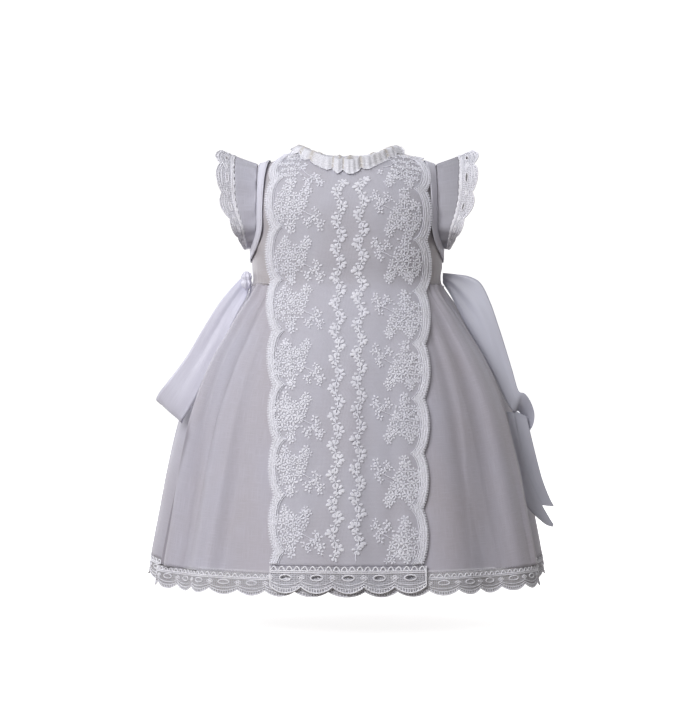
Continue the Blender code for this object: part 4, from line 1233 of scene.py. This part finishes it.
def vineMiddle(number, z):
    start, end = vines["tops"][number], vines["bottoms"][number]
    share = (vines["startZ"] - z) / (vines["startZ"] - vines["endZ"])
    sway = vines["sway"] * math.cos(math.pi * (vines["firstBunch"][number] - z) / vines["bunchSpacing"])
    return start + (end - start) * share + sway


def makeVines():
    generator = np.random.default_rng(11)
    leaves, lines = [], []
    spacing, rise = vines["bunchSpacing"], panel["rise"]
    for number in (0, 1):
        steps = np.arange(vines["startZ"], vines["endZ"] - 2.0, -2.6)
        lines.append(np.array([panelPlace(vineMiddle(number, z), z, rise + 0.4)[0] for z in steps]))
        even, side = vines["firstBunch"][number], 1.0
        while even > vines["endZ"] + 4.0:
            jitter = generator.uniform(-1.0, 1.0, 8)
            place = even + 0.7 * jitter[7]
            half = place - 0.5 * spacing
            bunches = (
                (vineMiddle(number, place) + side * 0.8, place, vines["fan"]),
                (vineMiddle(number, half), half, vines["between"]),
            )
            for x, z, fan in bunches:
                point, right, up, normal = panelPlace(x, z, rise + 0.3)
                for step, (angle, size) in enumerate(fan):
                    turn = math.radians(angle + 9.0 * jitter[step])
                    direction = right * side * math.cos(turn) + up * math.sin(turn)
                    size = size * (1.0 + 0.12 * jitter[(step + 3) % 8])
                    span = (size, size * 0.86, size * 0.7)
                    leaves.append((point + direction * 0.9, direction, normal, span))
            even -= spacing
            side = -side
    rides(stampPiece("panelVineLeaves", leaves, roundPetal, embroideryThread), "net_lace")
    rides(threadPiece("panelVineStems", lines, vines["stemRadius"], embroideryThread), "net_lace")


makeVines()
print("lace panel and embroidery made")

panelLace = {"repeats": 5, "drop": 24.0, "reach": 24.6, "heavyRadius": 0.78, "fineRadius": 0.46}


def makePanelLace():
    left, right = panel["leftHem"], panel["rightHem"]
    top = panel["hemHeight"] - form["seamGap"]
    repeats = panelLace["repeats"]

    def place(across, down, rise=panel["rise"]):
        return panelPoint(left + (right - left) * across / repeats, top - down * panelLace["reach"], rise)

    cloth = laceCloth("panelLaceGround", repeats, place, panelTrimGround, panelLace["drop"])
    rides(cloth, "lace", "lace_panel_hem")
    onTop = lambda across, down: place(across, down, panel["rise"] + 0.3)
    laceThreads("panelLaceThreads", repeats, onTop, panelLace["heavyRadius"], panelLace["fineRadius"])


makePanelLace()
print("panel lace made")

# Armholes: bias strips, flutter sleeves of organza and their scalloped lace
sleeve = {
    "length": 41.5,
    "rootGap": 0.9,
    "organzaShare": 0.55,
    "waves": 6,
    "waveDepth": 2.2,
    "end": 0.88,
    "repeats": 10,
    "gathers": 46,
    "gatherDepth": 0.75,
    "laceGap": 0.004,  # on each side of the seam between organza and lace, as a share of the length
    "laceDrop": 20.0,
    "heavyRadius": 0.68,
    "fineRadius": 0.46,
}


def armholePlace(side, place):
    up = np.maximum(1.0 - np.abs(place), 0.0)
    height = form["armholeBottom"] + (shoulderTop - form["armholeBottom"]) * up**2
    bearing = armholeBearing(height)
    return side * np.where(place > 0.0, 180.0 - bearing, bearing), height


def armholePoint(side, place):
    return formPoint(*armholePlace(side, np.asarray(place, float)))


def armholeAhead(side, place):
    return armholePoint(side, place + 0.02) - armholePoint(side, place - 0.02)


def sleevePoint(side, place, share, extra, rise):
    place, share = sameShape(place, share)
    edge = armholePoint(side, place)
    up = 1.0 - np.abs(place)
    swing = np.sign(place) * 0.38 * np.sin(math.pi * up)
    droop = 0.75 * up**1.2 - 0.35 * smoothStep(up / 0.35)
    outward = unit(np.stack((np.full(place.shape, side), swing, droop), -1))
    across = unit(np.cross(armholeAhead(side, place), outward)) * side
    climb = np.clip((edge[..., 2] + 92.0) / 100.0, 0.0, 1.0)  # the sleeve runs out towards the underarm
    fullReach = sleeve["length"] * (1.0 - (1.0 - climb) ** 3)
    reach = sleeve["rootGap"] + share * fullReach + extra * np.minimum(fullReach / 25.0, 1.0)
    wave = sleeve["waveDepth"] * share * np.cos(math.pi * sleeve["waves"] * (place + 0.08))
    gather = sleeve["gatherDepth"] * np.sin(sleeve["gathers"] * place + 2.0 * np.sin(7.0 * place))
    gather = gather * np.exp(-1.3 * share) * smoothStep(share / 0.05)
    return edge + outward * reach[..., None] + across * (wave + gather + rise)[..., None]


def makeSleeves():
    end, repeats, seam, gap = (sleeve[key] for key in ("end", "repeats", "organzaShare", "laceGap"))
    for word, side in (("Left", -1.0), ("Right", 1.0)):
        place, share = gridOf(evenSteps(-end, end, 200), evenSteps(0.0, seam - gap, 22))
        points = sleevePoint(side, place, share, 0.0, 0.0)
        cloth = gridPiece(f"sleeve{word}Organza", points, sleeveOrganza, wall=0.3, inside=0.0)
        rides(cloth, "organza", f"sleeve_{word.lower()}")

        def lay(across, down, rise=0.0, side=side):
            across, down = np.asarray(across), np.asarray(down)
            spot = end * (2.0 * across / repeats - 1.0)
            return sleevePoint(side, spot, seam + gap + down * (1.0 - seam), 1.4 * down, rise)

        name, drop = f"sleeveLace{word}Ground", sleeve["laceDrop"]
        ground = laceCloth(name, repeats, lay, sleeveTrimGround, drop, sleeveRepeat)
        rides(ground, "lace", f"sleeve_lace_{word.lower()}")
        under = lambda across, down: lay(across, down, -0.25)
        radii = (sleeve["heavyRadius"], sleeve["fineRadius"])
        laceThreads(f"sleeveLace{word}Threads", repeats, under, *radii, sleeveRepeat)


makeSleeves()

binding = {"width": 12.0, "inset": 0.6, "steps": 150, "end": 0.9995, "rise": 0.6, "stitchRows": (0.14, 0.86)}
seamStitch = {"pitch": 2.4, "length": 1.6, "thickness": 0.34}
seamStitches = []


def makeBindings():
    for word, side in (("Left", -1.0), ("Right", 1.0)):
        places = evenSteps(-binding["end"], binding["end"], binding["steps"])
        bearing, height = armholePlace(side, places)
        normal = formNormal(bearing, height)
        inward = unit(np.cross(normal, armholeAhead(side, places))) * side
        edge = armholePoint(side, places)

        def line(share, lift):
            # a line along the tape, a share of its width from the armhole
            out = binding["rise"] + 0.45 * share + lift
            return edge + inward * (binding["inset"] + binding["width"] * share) + normal * out

        lifts = [(share, 0.45 + 0.45 * math.sin(math.pi * share) ** 0.5) for share in evenSteps(0.0, 1.0, 8)]
        points = np.stack([line(share, lift) for share, lift in lifts], 1)
        piece = gridPiece(f"armholeBinding{word}Tape", points, biasTape, wall=0.5)
        rides(piece, "bias_binding", f"armhole_binding_{word.lower()}")
        for share in binding["stitchRows"]:
            seamStitches.extend(stitchesAlong(line(share, 0.95)[4:-4], normal[4:-4], **seamStitch))


makeBindings()
print("sleeves and bindings made")

# Neck frill: a gathered lace ruffle that rolls over the neck edge
frill = {
    "steps": 720,
    "ruffles": 17,
    "puff": 4.9,
    "scallop": 5.6,
    "wrinkles": 61,
    "wrinkleDepth": 0.45,
    "frontFall": 11.0,
    "backFall": 6.5,
    # from the neck edge to the frill's edge: share of its width, how far out, how far up, how wavy
    "shares": (0.0, 0.3, 0.62, 1.0),
    "out": (-1.3, -0.8, 5.8, 11.6),
    "up": (-1.8, 7.2, 7.9),
    "waviness": (0.0, 0.3, 0.8, 1.0),
    "crest": 7.8,
    "edge": 5.6,
    "picotSize": (2.0, 1.9, 2.0),
    "cordRadius": 0.36,
}


def neckPoint(turn):
    angle = np.radians(turn)
    x = form["neckHalfWidth"] * np.sin(angle)
    front = np.cos(angle) >= 0.0
    drop = np.where(front, form["neckDropFront"], form["neckDropBack"])
    height = topHeight(x, drop)
    bearing = bearingOf(x, height)
    return formPoint(np.where(front, bearing, 180.0 - bearing), height)


def ruffleLobe(angle):
    # 0 where the ruffle is pinched, 1 at the middle of its puff, uneven around the neck
    turn = 0.5 * frill["ruffles"] * angle + 0.7 * np.sin(3.0 * angle + 0.8)
    turn = turn + 0.6 * np.sin(6.0 * angle) + 0.45 * np.sin(11.0 * angle + 2.1)
    return np.abs(np.sin(turn)) ** 0.75 * (0.74 + 0.26 * np.sin(5.0 * angle + 1.7))


def frillPoints(shares, lift=0.0):
    turn = evenSteps(0.0, 360.0, frill["steps"])[:-1]
    angle = np.radians(turn)
    neck = neckPoint(turn)
    outward = np.stack((np.sin(angle), -np.cos(angle), np.zeros_like(angle)), -1)
    level = np.abs(np.cos(angle)) ** 1.2
    fall = np.where(np.cos(angle) >= 0.0, frill["frontFall"], frill["backFall"])
    keys, crest = frill["shares"], frill["crest"]
    lobe = ruffleLobe(angle)
    wrinkle = frill["wrinkleDepth"] * np.sin(angle * frill["wrinkles"] + 2.2 * np.sin(5.0 * angle))
    columns = []
    for share in shares:
        out = np.interp(share, keys, frill["out"])
        up = np.interp(share, keys[:3], frill["up"])
        over = smoothStep((share - keys[2]) / (1.0 - keys[2]))
        rolled = crest + (frill["edge"] - fall * level - crest) * over
        up = np.where(share > keys[2], rolled, up) + lift
        waviness = np.interp(share, keys, frill["waviness"])
        side = waviness * (frill["puff"] * (lobe - 0.45) + wrinkle)
        rise = waviness * (0.4 - lobe) * frill["scallop"] * (0.25 + 0.75 * share) - 0.5 * waviness * wrinkle
        climb = np.array((0.0, 0.0, 1.0)) * (up + rise)[:, None]
        columns.append(neck + outward * (out + side)[:, None] + climb)
    return np.stack(columns, 1)


def makeFrill():
    share = evenSteps(0.0, 1.0, 16)
    cloth = gridPiece("neckFrillLace", frillPoints(share), frillGround, closed=True, wall=0.35, inside=0.0)
    angle = np.radians(evenSteps(0.0, 360.0, frill["steps"]))
    # painted shade where the ruffles pinch together, and along the neck edge under the roll
    pinched = 1.0 - smoothStep(ruffleLobe(angle) / 0.55)
    paintedShade = pinched[:, None] * smoothStep(share / 0.3)[None, :] * 0.62
    setPaintedShade(cloth, paintedShade + 0.45 * smoothStep((0.3 - share) / 0.3)[None, :])
    rides(cloth, "lace", "neck_frill")
    lines = [np.concatenate((line, line[:1])) for line in frillPoints((0.99, 0.84), 0.25).transpose(1, 0, 2)]
    rides(threadPiece("neckFrillCords", lines, frill["cordRadius"], laceThread), "lace")
    edge = frillPoints((0.9, 1.0))[::5]
    places = [(end, end - start, (0.0, 0.0, 1.0), frill["picotSize"]) for start, end in edge]
    rides(stampPiece("neckFrillPicots", places, roundPetal, laceThread), "lace")


makeFrill()
print("neck frill made")

# Satin ribbons at the side seams: cross lines from edge to edge, x measured outwards
ribbons = {
    "leftLoop": (
        (95.6, -4.0, -111.0, 95.6, -4.0, -121.0),
        (107.0, -10.0, -118.0, 99.9, -10.5, -135.0),
        (125.0, -16.0, -139.0, 110.0, -16.0, -155.0),
        (142.0, -20.0, -166.0, 123.0, -20.0, -182.0),
        (159.0, -22.0, -195.0, 136.5, -22.0, -208.0),
        (177.0, -23.0, -219.0, 147.5, -23.0, -232.0),
        (185.5, -20.0, -229.5, 157.0, -20.0, -249.0),
        (189.5, -14.5, -237.0, 163.5, -14.5, -258.0),
        (187.0, -9.0, -239.0, 164.0, -9.0, -260.0),
        (180.0, -6.5, -231.0, 160.0, -6.5, -250.0),
        (160.0, -6.0, -201.0, 142.0, -6.0, -214.0),
        (143.0, -5.0, -172.0, 129.0, -5.0, -184.0),
        (122.0, -2.0, -139.0, 113.0, -2.0, -152.0),
        (97.0, 3.0, -112.0, 97.0, 3.0, -122.0),
    ),
    "rightLoop": (
        (95.6, -4.0, -111.0, 95.6, -4.0, -121.0),
        (108.0, -9.0, -112.5, 105.0, -9.0, -137.0),
        (122.0, -13.0, -115.0, 118.5, -13.0, -165.0),
        (133.0, -15.5, -122.0, 129.0, -15.5, -184.0),
        (142.0, -17.0, -140.0, 138.0, -17.0, -200.0),
        (150.0, -17.5, -163.0, 145.5, -17.5, -213.0),
        (157.0, -17.5, -185.0, 152.0, -17.5, -227.0),
        (164.0, -17.5, -208.0, 158.5, -17.5, -240.0),
        (170.0, -17.5, -228.0, 165.0, -16.5, -249.0),
        (176.0, -18.0, -231.0, 170.5, -8.0, -249.0),
        (182.0, -17.0, -239.0, 174.0, -3.0, -253.0),
        (186.0, -14.5, -251.0, 176.5, 0.0, -260.0),
        (185.0, -12.0, -262.0, 175.0, 2.0, -268.0),
        (180.5, -10.5, -270.0, 172.0, 3.0, -274.0),
    ),
    "outerTail": (
        (178.5, -11.9, -254.0, 164.0, -13.4, -247.0),
        (187.0, -13.5, -290.0, 169.5, -14.0, -288.0),
        (194.0, -13.0, -316.0, 177.5, -13.5, -316.0),
        (201.0, -12.0, -334.0, 185.5, -12.5, -334.0),
        (206.0, -11.0, -343.6, 190.5, -12.0, -342.0),
    ),
    "innerTail": (
        (165.6, -16.6, -250.0, 157.0, -16.4, -249.0),
        (169.0, -17.5, -268.0, 159.0, -17.5, -268.0),
        (174.0, -18.0, -291.0, 163.0, -17.5, -293.0),
        (182.0, -17.0, -318.0, 170.0, -17.0, -325.0),
        (191.0, -16.0, -337.0, 180.0, -16.0, -345.0),
        (200.0, -15.5, -353.0, 195.5, -15.5, -360.0),
        (205.0, -15.0, -361.0, 204.0, -15.0, -363.5),
    ),
    "acrossSteps": 14,
    "stepsPerLine": 9,
}
# Creases of each ribbon: share across, share along, share across, share along, half width, depth
ribbonCreases = {
    "leftLoop": (
        (0.2, 0.02, 0.35, 0.22, 0.09, 0.9),
        (0.6, 0.01, 0.75, 0.18, 0.08, -0.8),
        (0.45, 0.03, 0.5, 0.3, 0.07, -0.7),
        (0.8, 0.25, 0.55, 0.42, 0.12, 0.8),
        (0.3, 0.5, 0.7, 0.56, 0.05, 0.9),
        (0.4, 0.7, 0.5, 0.97, 0.1, 0.7),
    ),
    "rightLoop": (
        (0.15, 0.01, 0.3, 0.3, 0.08, 1.1),
        (0.35, 0.02, 0.5, 0.38, 0.07, -1.0),
        (0.55, 0.01, 0.68, 0.3, 0.08, 1.0),
        (0.78, 0.03, 0.85, 0.36, 0.07, -0.9),
        (0.3, 0.42, 0.55, 0.66, 0.12, 0.9),
        (0.5, 0.62, 0.4, 0.98, 0.12, -0.6),
    ),
    "outerTail": ((0.5, 0.05, 0.4, 0.8, 0.14, 0.8),),
    "innerTail": ((0.4, 0.05, 0.55, 0.7, 0.14, 0.7),),
}


def smoothLines(lines, steps):
    # Catmull-Rom curve through rows of numbers
    padded = np.concatenate((2.0 * lines[:1] - lines[1:2], lines, 2.0 * lines[-1:] - lines[-2:-1]))
    rows = []
    for number in range(len(lines) - 1):
        a, b, c, d = padded[number : number + 4]
        for share in evenSteps(0.0, 1.0, steps)[:-1]:
            bend = (2 * a - 5 * b + 4 * c - d) * share**2 + (3 * b - a - 3 * c + d) * share**3
            rows.append(0.5 * (2 * b + (c - a) * share + bend))
    return np.array(rows + [lines[-1]])


def ribbonPoints(key, side):
    rows = smoothLines(np.array(ribbons[key]), ribbons["stepsPerLine"])
    edge, other = rows[:, :3] * (side, 1.0, 1.0), rows[:, 3:] * (side, 1.0, 1.0)
    across = evenSteps(0.0, 1.0, ribbons["acrossSteps"])
    points = edge[:, None, :] + (other - edge)[:, None, :] * across[None, :, None]
    normal = unit(np.cross(np.gradient(0.5 * (edge + other), axis=0), other - edge))
    along, across = gridOf(np.linspace(0.0, 1.0, len(rows)), across)
    lift = 0.75 * creaseRise(across, along, ribbonCreases[key]) - 0.35 * np.sin(math.pi * across)
    return points + normal[:, None, :] * lift[..., None]


def makeRibbons():
    for key, node, side in (
        ("leftLoop", "left_loop", -1.0),
        ("rightLoop", "right_loop", 1.0),
        ("outerTail", "right_tail_outer", 1.0),
        ("innerTail", "right_tail_inner", 1.0),
    ):
        points = ribbonPoints(key, side).transpose(1, 0, 2)
        piece = gridPiece("ribbon" + key[0].upper() + key[1:], points, satin, inside=0.0, flip=False)
        rides(piece, "satin", f"ribbon_{node}")


makeRibbons()

knot = {"centre": (-99.6, -18.4, -119.0), "radii": (5.6, 4.8, 9.0), "folds": 7, "foldDepth": 0.12}


def makeKnot():
    turn, lift = gridOf(evenSteps(0.0, 2.0 * math.pi, 72)[:-1], evenSteps(-0.5 * math.pi, 0.5 * math.pi, 36))
    wave = np.cos(knot["folds"] * turn + 1.3 * np.sin(2.0 * lift))
    fold = 1.0 + knot["foldDepth"] * wave * np.cos(lift) ** 0.5
    pinch = 1.0 - 0.22 * np.exp(-((lift / 0.22) ** 2))  # drawn in across the middle
    out = fold * pinch * np.cos(lift)
    ball = np.stack((out * np.cos(turn), out * np.sin(turn), np.sin(lift)), -1)
    points = ball * knot["radii"] + knot["centre"]
    piece = gridPiece("ribbonLeftKnot", points, satin, closed=True, wall=0.0, flip=False)
    rides(piece, "satin", "ribbon_left_knot")


makeKnot()
print("ribbons made")

# Back opening: button strip with three buttons
backOpening = {
    "halfWidth": 7.0,
    "rise": 1.4,
    "wall": 1.6,
    "stitchLine": 5.8,
    "buttonHeights": (-20.0, -60.0, -100.0),
    "buttonRadius": 5.0,
    "buttonHeight": 2.4,
    "buttonSeat": 2.1,
    "threadRadius": 0.3,
}


def backPoint(x, height, rise):
    out = np.full(np.shape(height), rise)
    return clothPoint(180.0 - bearingOf(x, height), height, out) + np.array((0.0, 0.5, 0.0))


def makePlacket():
    half = backOpening["halfWidth"]
    x, share = gridOf(evenSteps(-half, half, 14), evenSteps(0.0, 1.0, 70))
    bottom = form["waistHeight"] + 1.0
    height = bottom + (topHeight(x, form["neckDropBack"]) - 1.0 - bottom) * share
    points = backPoint(x, height, backOpening["rise"])
    piece = gridPiece("backPlacketStrip", points, biasTape, wall=backOpening["wall"])
    rides(piece, "bias_binding", "back_placket")
    for side in (-1.0, 1.0):
        x = side * backOpening["stitchLine"]
        height = evenSteps(bottom + 2.0, topHeight(x, form["neckDropBack"]) - 3.0, 60)
        normals = formNormal(180.0 - bearingOf(x, height), height)
        points = backPoint(x, height, backOpening["rise"] + 0.15)
        seamStitches.extend(stitchesAlong(points, normals, **seamStitch))


makePlacket()


def makeButtons():
    radius, tall = backOpening["buttonRadius"], backOpening["buttonHeight"]
    profile = (
        (0.0, 0.0), (radius - 0.8, 0.0), (radius - 0.2, 0.35), (radius, 0.9), (radius, tall - 0.8),
        (radius - 0.25, tall - 0.25), (radius - 0.8, tall), (radius - 1.3, tall - 0.12),
        (radius - 1.8, tall - 0.55), (0.0, tall - 0.75),
    )
    threads = []
    turn = evenSteps(0.0, 2.0 * math.pi, 44)[:-1, None]
    for number, height in enumerate(backOpening["buttonHeights"], start=1):
        normal = formNormal(180.0, height)
        seat = clothPoint(180.0, height, np.array(backOpening["buttonSeat"])) + np.array((0.0, 0.6, 0.0))
        side = unit(np.cross(normal, np.array((0.0, 0.0, 1.0))))
        up = np.cross(side, normal)
        flat = np.cos(turn) * side + np.sin(turn) * up
        points = np.stack([seat + flat * out + normal * lift for out, lift in profile], 1)
        piece = gridPiece(f"pearlButton{number}", points, pearl, closed=True, wall=0.0, flip=True)
        rides(piece, "pearl_button", f"back_button_{number}")
        for sideways in (-0.75, 0.75):
            low = seat + normal * (tall - 0.5) + side * sideways
            steps = ((-1.0, 0.0), (-0.5, 0.25), (0.5, 0.25), (1.0, 0.0))
            threads.append(np.array([low + up * along + normal * lift for along, lift in steps]))
    sewing = threadPiece("buttonSewingThread", threads, backOpening["threadRadius"], sewingThread)
    rides(sewing, "bias_binding")


makeButtons()

# Stitch rows of the waist seam and the hem: first and last bearing, height above the seam, stitch
waistStitch = (2.2, 60, form["waistHeight"], {"pitch": 2.6, "length": 1.7, "thickness": 0.34})
hemStitch = (1.6, 260, form["hemHeight"], {"pitch": 3.0, "length": 1.9, "thickness": 0.36})


def makeSeamStitches():
    rows = [(ends, waistStitch) for ends in ((-88.0, -52.0), (52.0, 88.0), (94.0, 174.0), (186.0, 266.0))]
    rows += [(ends, hemStitch) for ends in ((-90.0, 90.0), (90.0, 270.0))]
    for ends, (above, steps, seam, size) in rows:
        bearing = evenSteps(*ends, steps)
        height = np.full(steps + 1, seam + above)
        line = clothPoint(bearing, height, np.full(steps + 1, 0.15))
        seamStitches.extend(stitchesAlong(line, formNormal(bearing, height), **size))
    rides(stampPiece("seamStitches", seamStitches, stitch, sewingThread), "bias_binding")


makeSeamStitches()
for shape in (petal, roundPetal, stitch):
    bpy.data.objects.remove(shape, do_unlink=True)
print("back opening and stitches made")

# Each sheet: its flat cut in metres, how it is held, what carries it and what is sewn onto it
panelWork = (
    "panelBorderLeft",
    "panelBorderRight",
    "panelPicots",
    "panelBorderCords",
    "panelBorderStitches",
    "panelFlowers",
    "panelStems",
    "panelVineLeaves",
    "panelVineStems",
)
sheets = [
    ("bodiceFrontCloth", (0.25, 0.155), "hung", ["skirtFrontOrganza"]),
    ("bodiceBackLeftCloth", (0.13, 0.155), "hung", ["skirtBackOrganza"]),
    ("bodiceBackRightCloth", (0.13, 0.155), "hung", ["skirtBackOrganza"]),
    ("skirtFrontOrganza", (0.56, 0.275), "gathered", ["bodiceFrontCloth"]),
    ("skirtBackOrganza", (0.60, 0.275), "gathered", ["bodiceBackLeftCloth"]),
    ("skirtLiningCloth", (0.98, 0.27), "hung", ["skirtFrontOrganza"]),
]
for word, around in (("Front", 0.58), ("Back", 0.62)):
    threads = (f"hemLace{word}ThreadsHeavy", f"hemLace{word}ThreadsFine")
    sheets.append((f"hemLace{word}Ground", (around, 0.02), "hung", [f"skirt{word}Organza"], *threads))
panelThreads = ("panelLaceThreadsHeavy", "panelLaceThreadsFine")
sheets += [
    ("panelNetCloth", (0.16, 0.42), "hung", ["bodiceFrontCloth", "skirtFrontOrganza"], *panelWork),
    ("panelLaceGround", (0.15, 0.025), "hung", ["panelNetCloth"], *panelThreads),
]
for word in ("Left", "Right"):
    threads = (f"sleeveLace{word}ThreadsHeavy", f"sleeveLace{word}ThreadsFine")
    sheets += [
        (f"sleeve{word}Organza", (0.22, 0.022), "gathered", [f"armholeBinding{word}Tape"]),
        (f"sleeveLace{word}Ground", (0.26, 0.018), "gathered", [f"sleeve{word}Organza"], *threads),
        (f"armholeBinding{word}Tape", (0.24, 0.0145), "laid", ["bodiceFrontCloth"]),
    ]
sheets += [
    ("neckFrillLace", (0.42, 0.019), "gathered", ["panelNetCloth"], "neckFrillCords", "neckFrillPicots"),
    ("ribbonLeftLoop", (0.024, 0.35), "hung", ["bodiceFrontCloth"]),
    ("ribbonRightLoop", (0.028, 0.19), "hung", ["bodiceFrontCloth"]),
    ("ribbonOuterTail", (0.014, 0.08), "hung", ["bodiceFrontCloth"]),
    ("ribbonInnerTail", (0.011, 0.12), "hung", ["bodiceFrontCloth"]),
    ("backPlacketStrip", (0.014, 0.16), "laid", ["bodiceBackLeftCloth"]),
]
print("sheets declared")

# Studio: pale floor that curves up into its backdrop all round, soft light from the left front
studio = {
    "floorHeight": -0.46,
    "floorRadius": 3.4,
    "wallRadius": 5.4,
    "wallHeight": 2.6,
    "floorGlow": 0.85,
    "cameraPlace": (0.003, -1.9, -0.1975),
    "cameraLens": 63.42,
    "lamps": (  # name, place, size, power, colour
        ("keySoftbox", (-1.35, -2.2, 1.25), 1.5, 66.0, (1.0, 0.985, 0.99)),
        ("topSoftbox", (-0.4, -0.2, 2.4), 2.4, 8.0, (0.95, 0.96, 1.0)),
        ("rightSoftbox", (2.6, -1.2, 0.4), 1.6, 1.6, (1.0, 0.93, 0.84)),
        ("backSoftbox", (-1.9, 2.1, 0.7), 1.4, 46.0, (0.97, 0.98, 1.0)),
        ("sideSoftbox", (2.5, 1.5, 0.5), 1.6, 15.0, (0.98, 0.97, 0.96)),
    ),
    "aim": (0.0, 0.0, -0.2),
    "skyStrength": 0.36,
    "skyLow": (0.50, 0.41, 0.34, 1.0),
    "skyHigh": (0.92, 0.94, 1.0, 1.0),
    "skyRight": (0.25, 0.22, 0.195, 1.0),
}


def makeFloor():
    # Matt painted floor: white and almost even, with a glow of its own that keeps it pale
    material, tree, shader = newMaterial("matPaintedStudioFloor", 0.95, 0.0, 0.1)
    tone = cloudyTone(tree, (1.2, 1.2, 1.2), 2.0, ("#FBFBFC", "#F8F8F9"), (0.3, 0.7, 0.0, 1.0))
    tree.links.new(tone, shader.inputs["Base Color"])
    shader.inputs["Emission Color"].default_value = (1.0, 1.0, 1.0, 1.0)
    shader.inputs["Emission Strength"].default_value = studio["floorGlow"]
    profile = [(radius, studio["floorHeight"]) for radius in (0.0, 0.5, 1.2, 2.2, studio["floorRadius"])]
    for angle in evenSteps(0.0, 0.5 * math.pi, 16)[1:]:
        radius = studio["floorRadius"] + (studio["wallRadius"] - studio["floorRadius"]) * math.sin(angle)
        profile.append((radius, studio["floorHeight"] + studio["wallHeight"] * (1.0 - math.cos(angle))))
    turn = evenSteps(0.0, 2.0 * math.pi, 96)[:-1]
    flat = np.stack((np.sin(turn), -np.cos(turn), np.zeros(96)), -1)
    points = np.stack([flat * radius + np.array((0.0, 0.0, height)) for radius, height in profile], 1)
    floor = gridPiece("studioFloor", points / mm, material, closed=True, wall=0.0, flip=False)
    floor.visible_diffuse = False  # the floor doesn't light the cloth from below


def makeCameraAndLight():
    camera = bpy.data.cameras.new("photoCamera")
    camera.sensor_fit = "VERTICAL"
    camera.sensor_height = 24.0
    camera.lens = studio["cameraLens"]
    scene.camera = newObject("photoCamera", camera)
    scene.camera.location = studio["cameraPlace"]
    scene.camera.rotation_euler = (math.radians(90.0), 0.0, 0.0)
    for name, place, size, power, colour in studio["lamps"]:
        lamp = bpy.data.lights.new(name, "AREA")
        lamp.size = size
        lamp.energy = power
        lamp.color = colour
        item = newObject(name, lamp)
        item.location = place
        item.rotation_euler = (Vector(studio["aim"]) - Vector(place)).to_track_quat("-Z", "Y").to_euler()
    world = scene.world or bpy.data.worlds.new("studioSky")
    scene.world = world
    world.use_nodes = True
    sky = world.node_tree
    background = sky.nodes["Background"]
    tone = studio["skyLow"]
    for axis, colour, ends in (
        (2, studio["skyHigh"], (-0.5, 0.7, 0.0, 1.0)),
        (0, studio["skyRight"], (-0.8, 0.8, 0.0, 0.62)),
    ):
        place = addNode(sky, "ShaderNodeTexCoord", (), "Generated")
        along = addNode(sky, "ShaderNodeSeparateXYZ", (place,), axis)
        share = addNode(sky, "ShaderNodeMapRange", (along, *ends))
        tone = addNode(sky, "ShaderNodeMix", {0: share, 6: tone, 7: colour}, 2, data_type="RGBA")
    sky.links.new(tone, background.inputs["Color"])
    background.inputs["Strength"].default_value = studio["skyStrength"]
    scene.view_settings.view_transform = "Standard"


makeFloor()
makeCameraAndLight()
print("studio made")
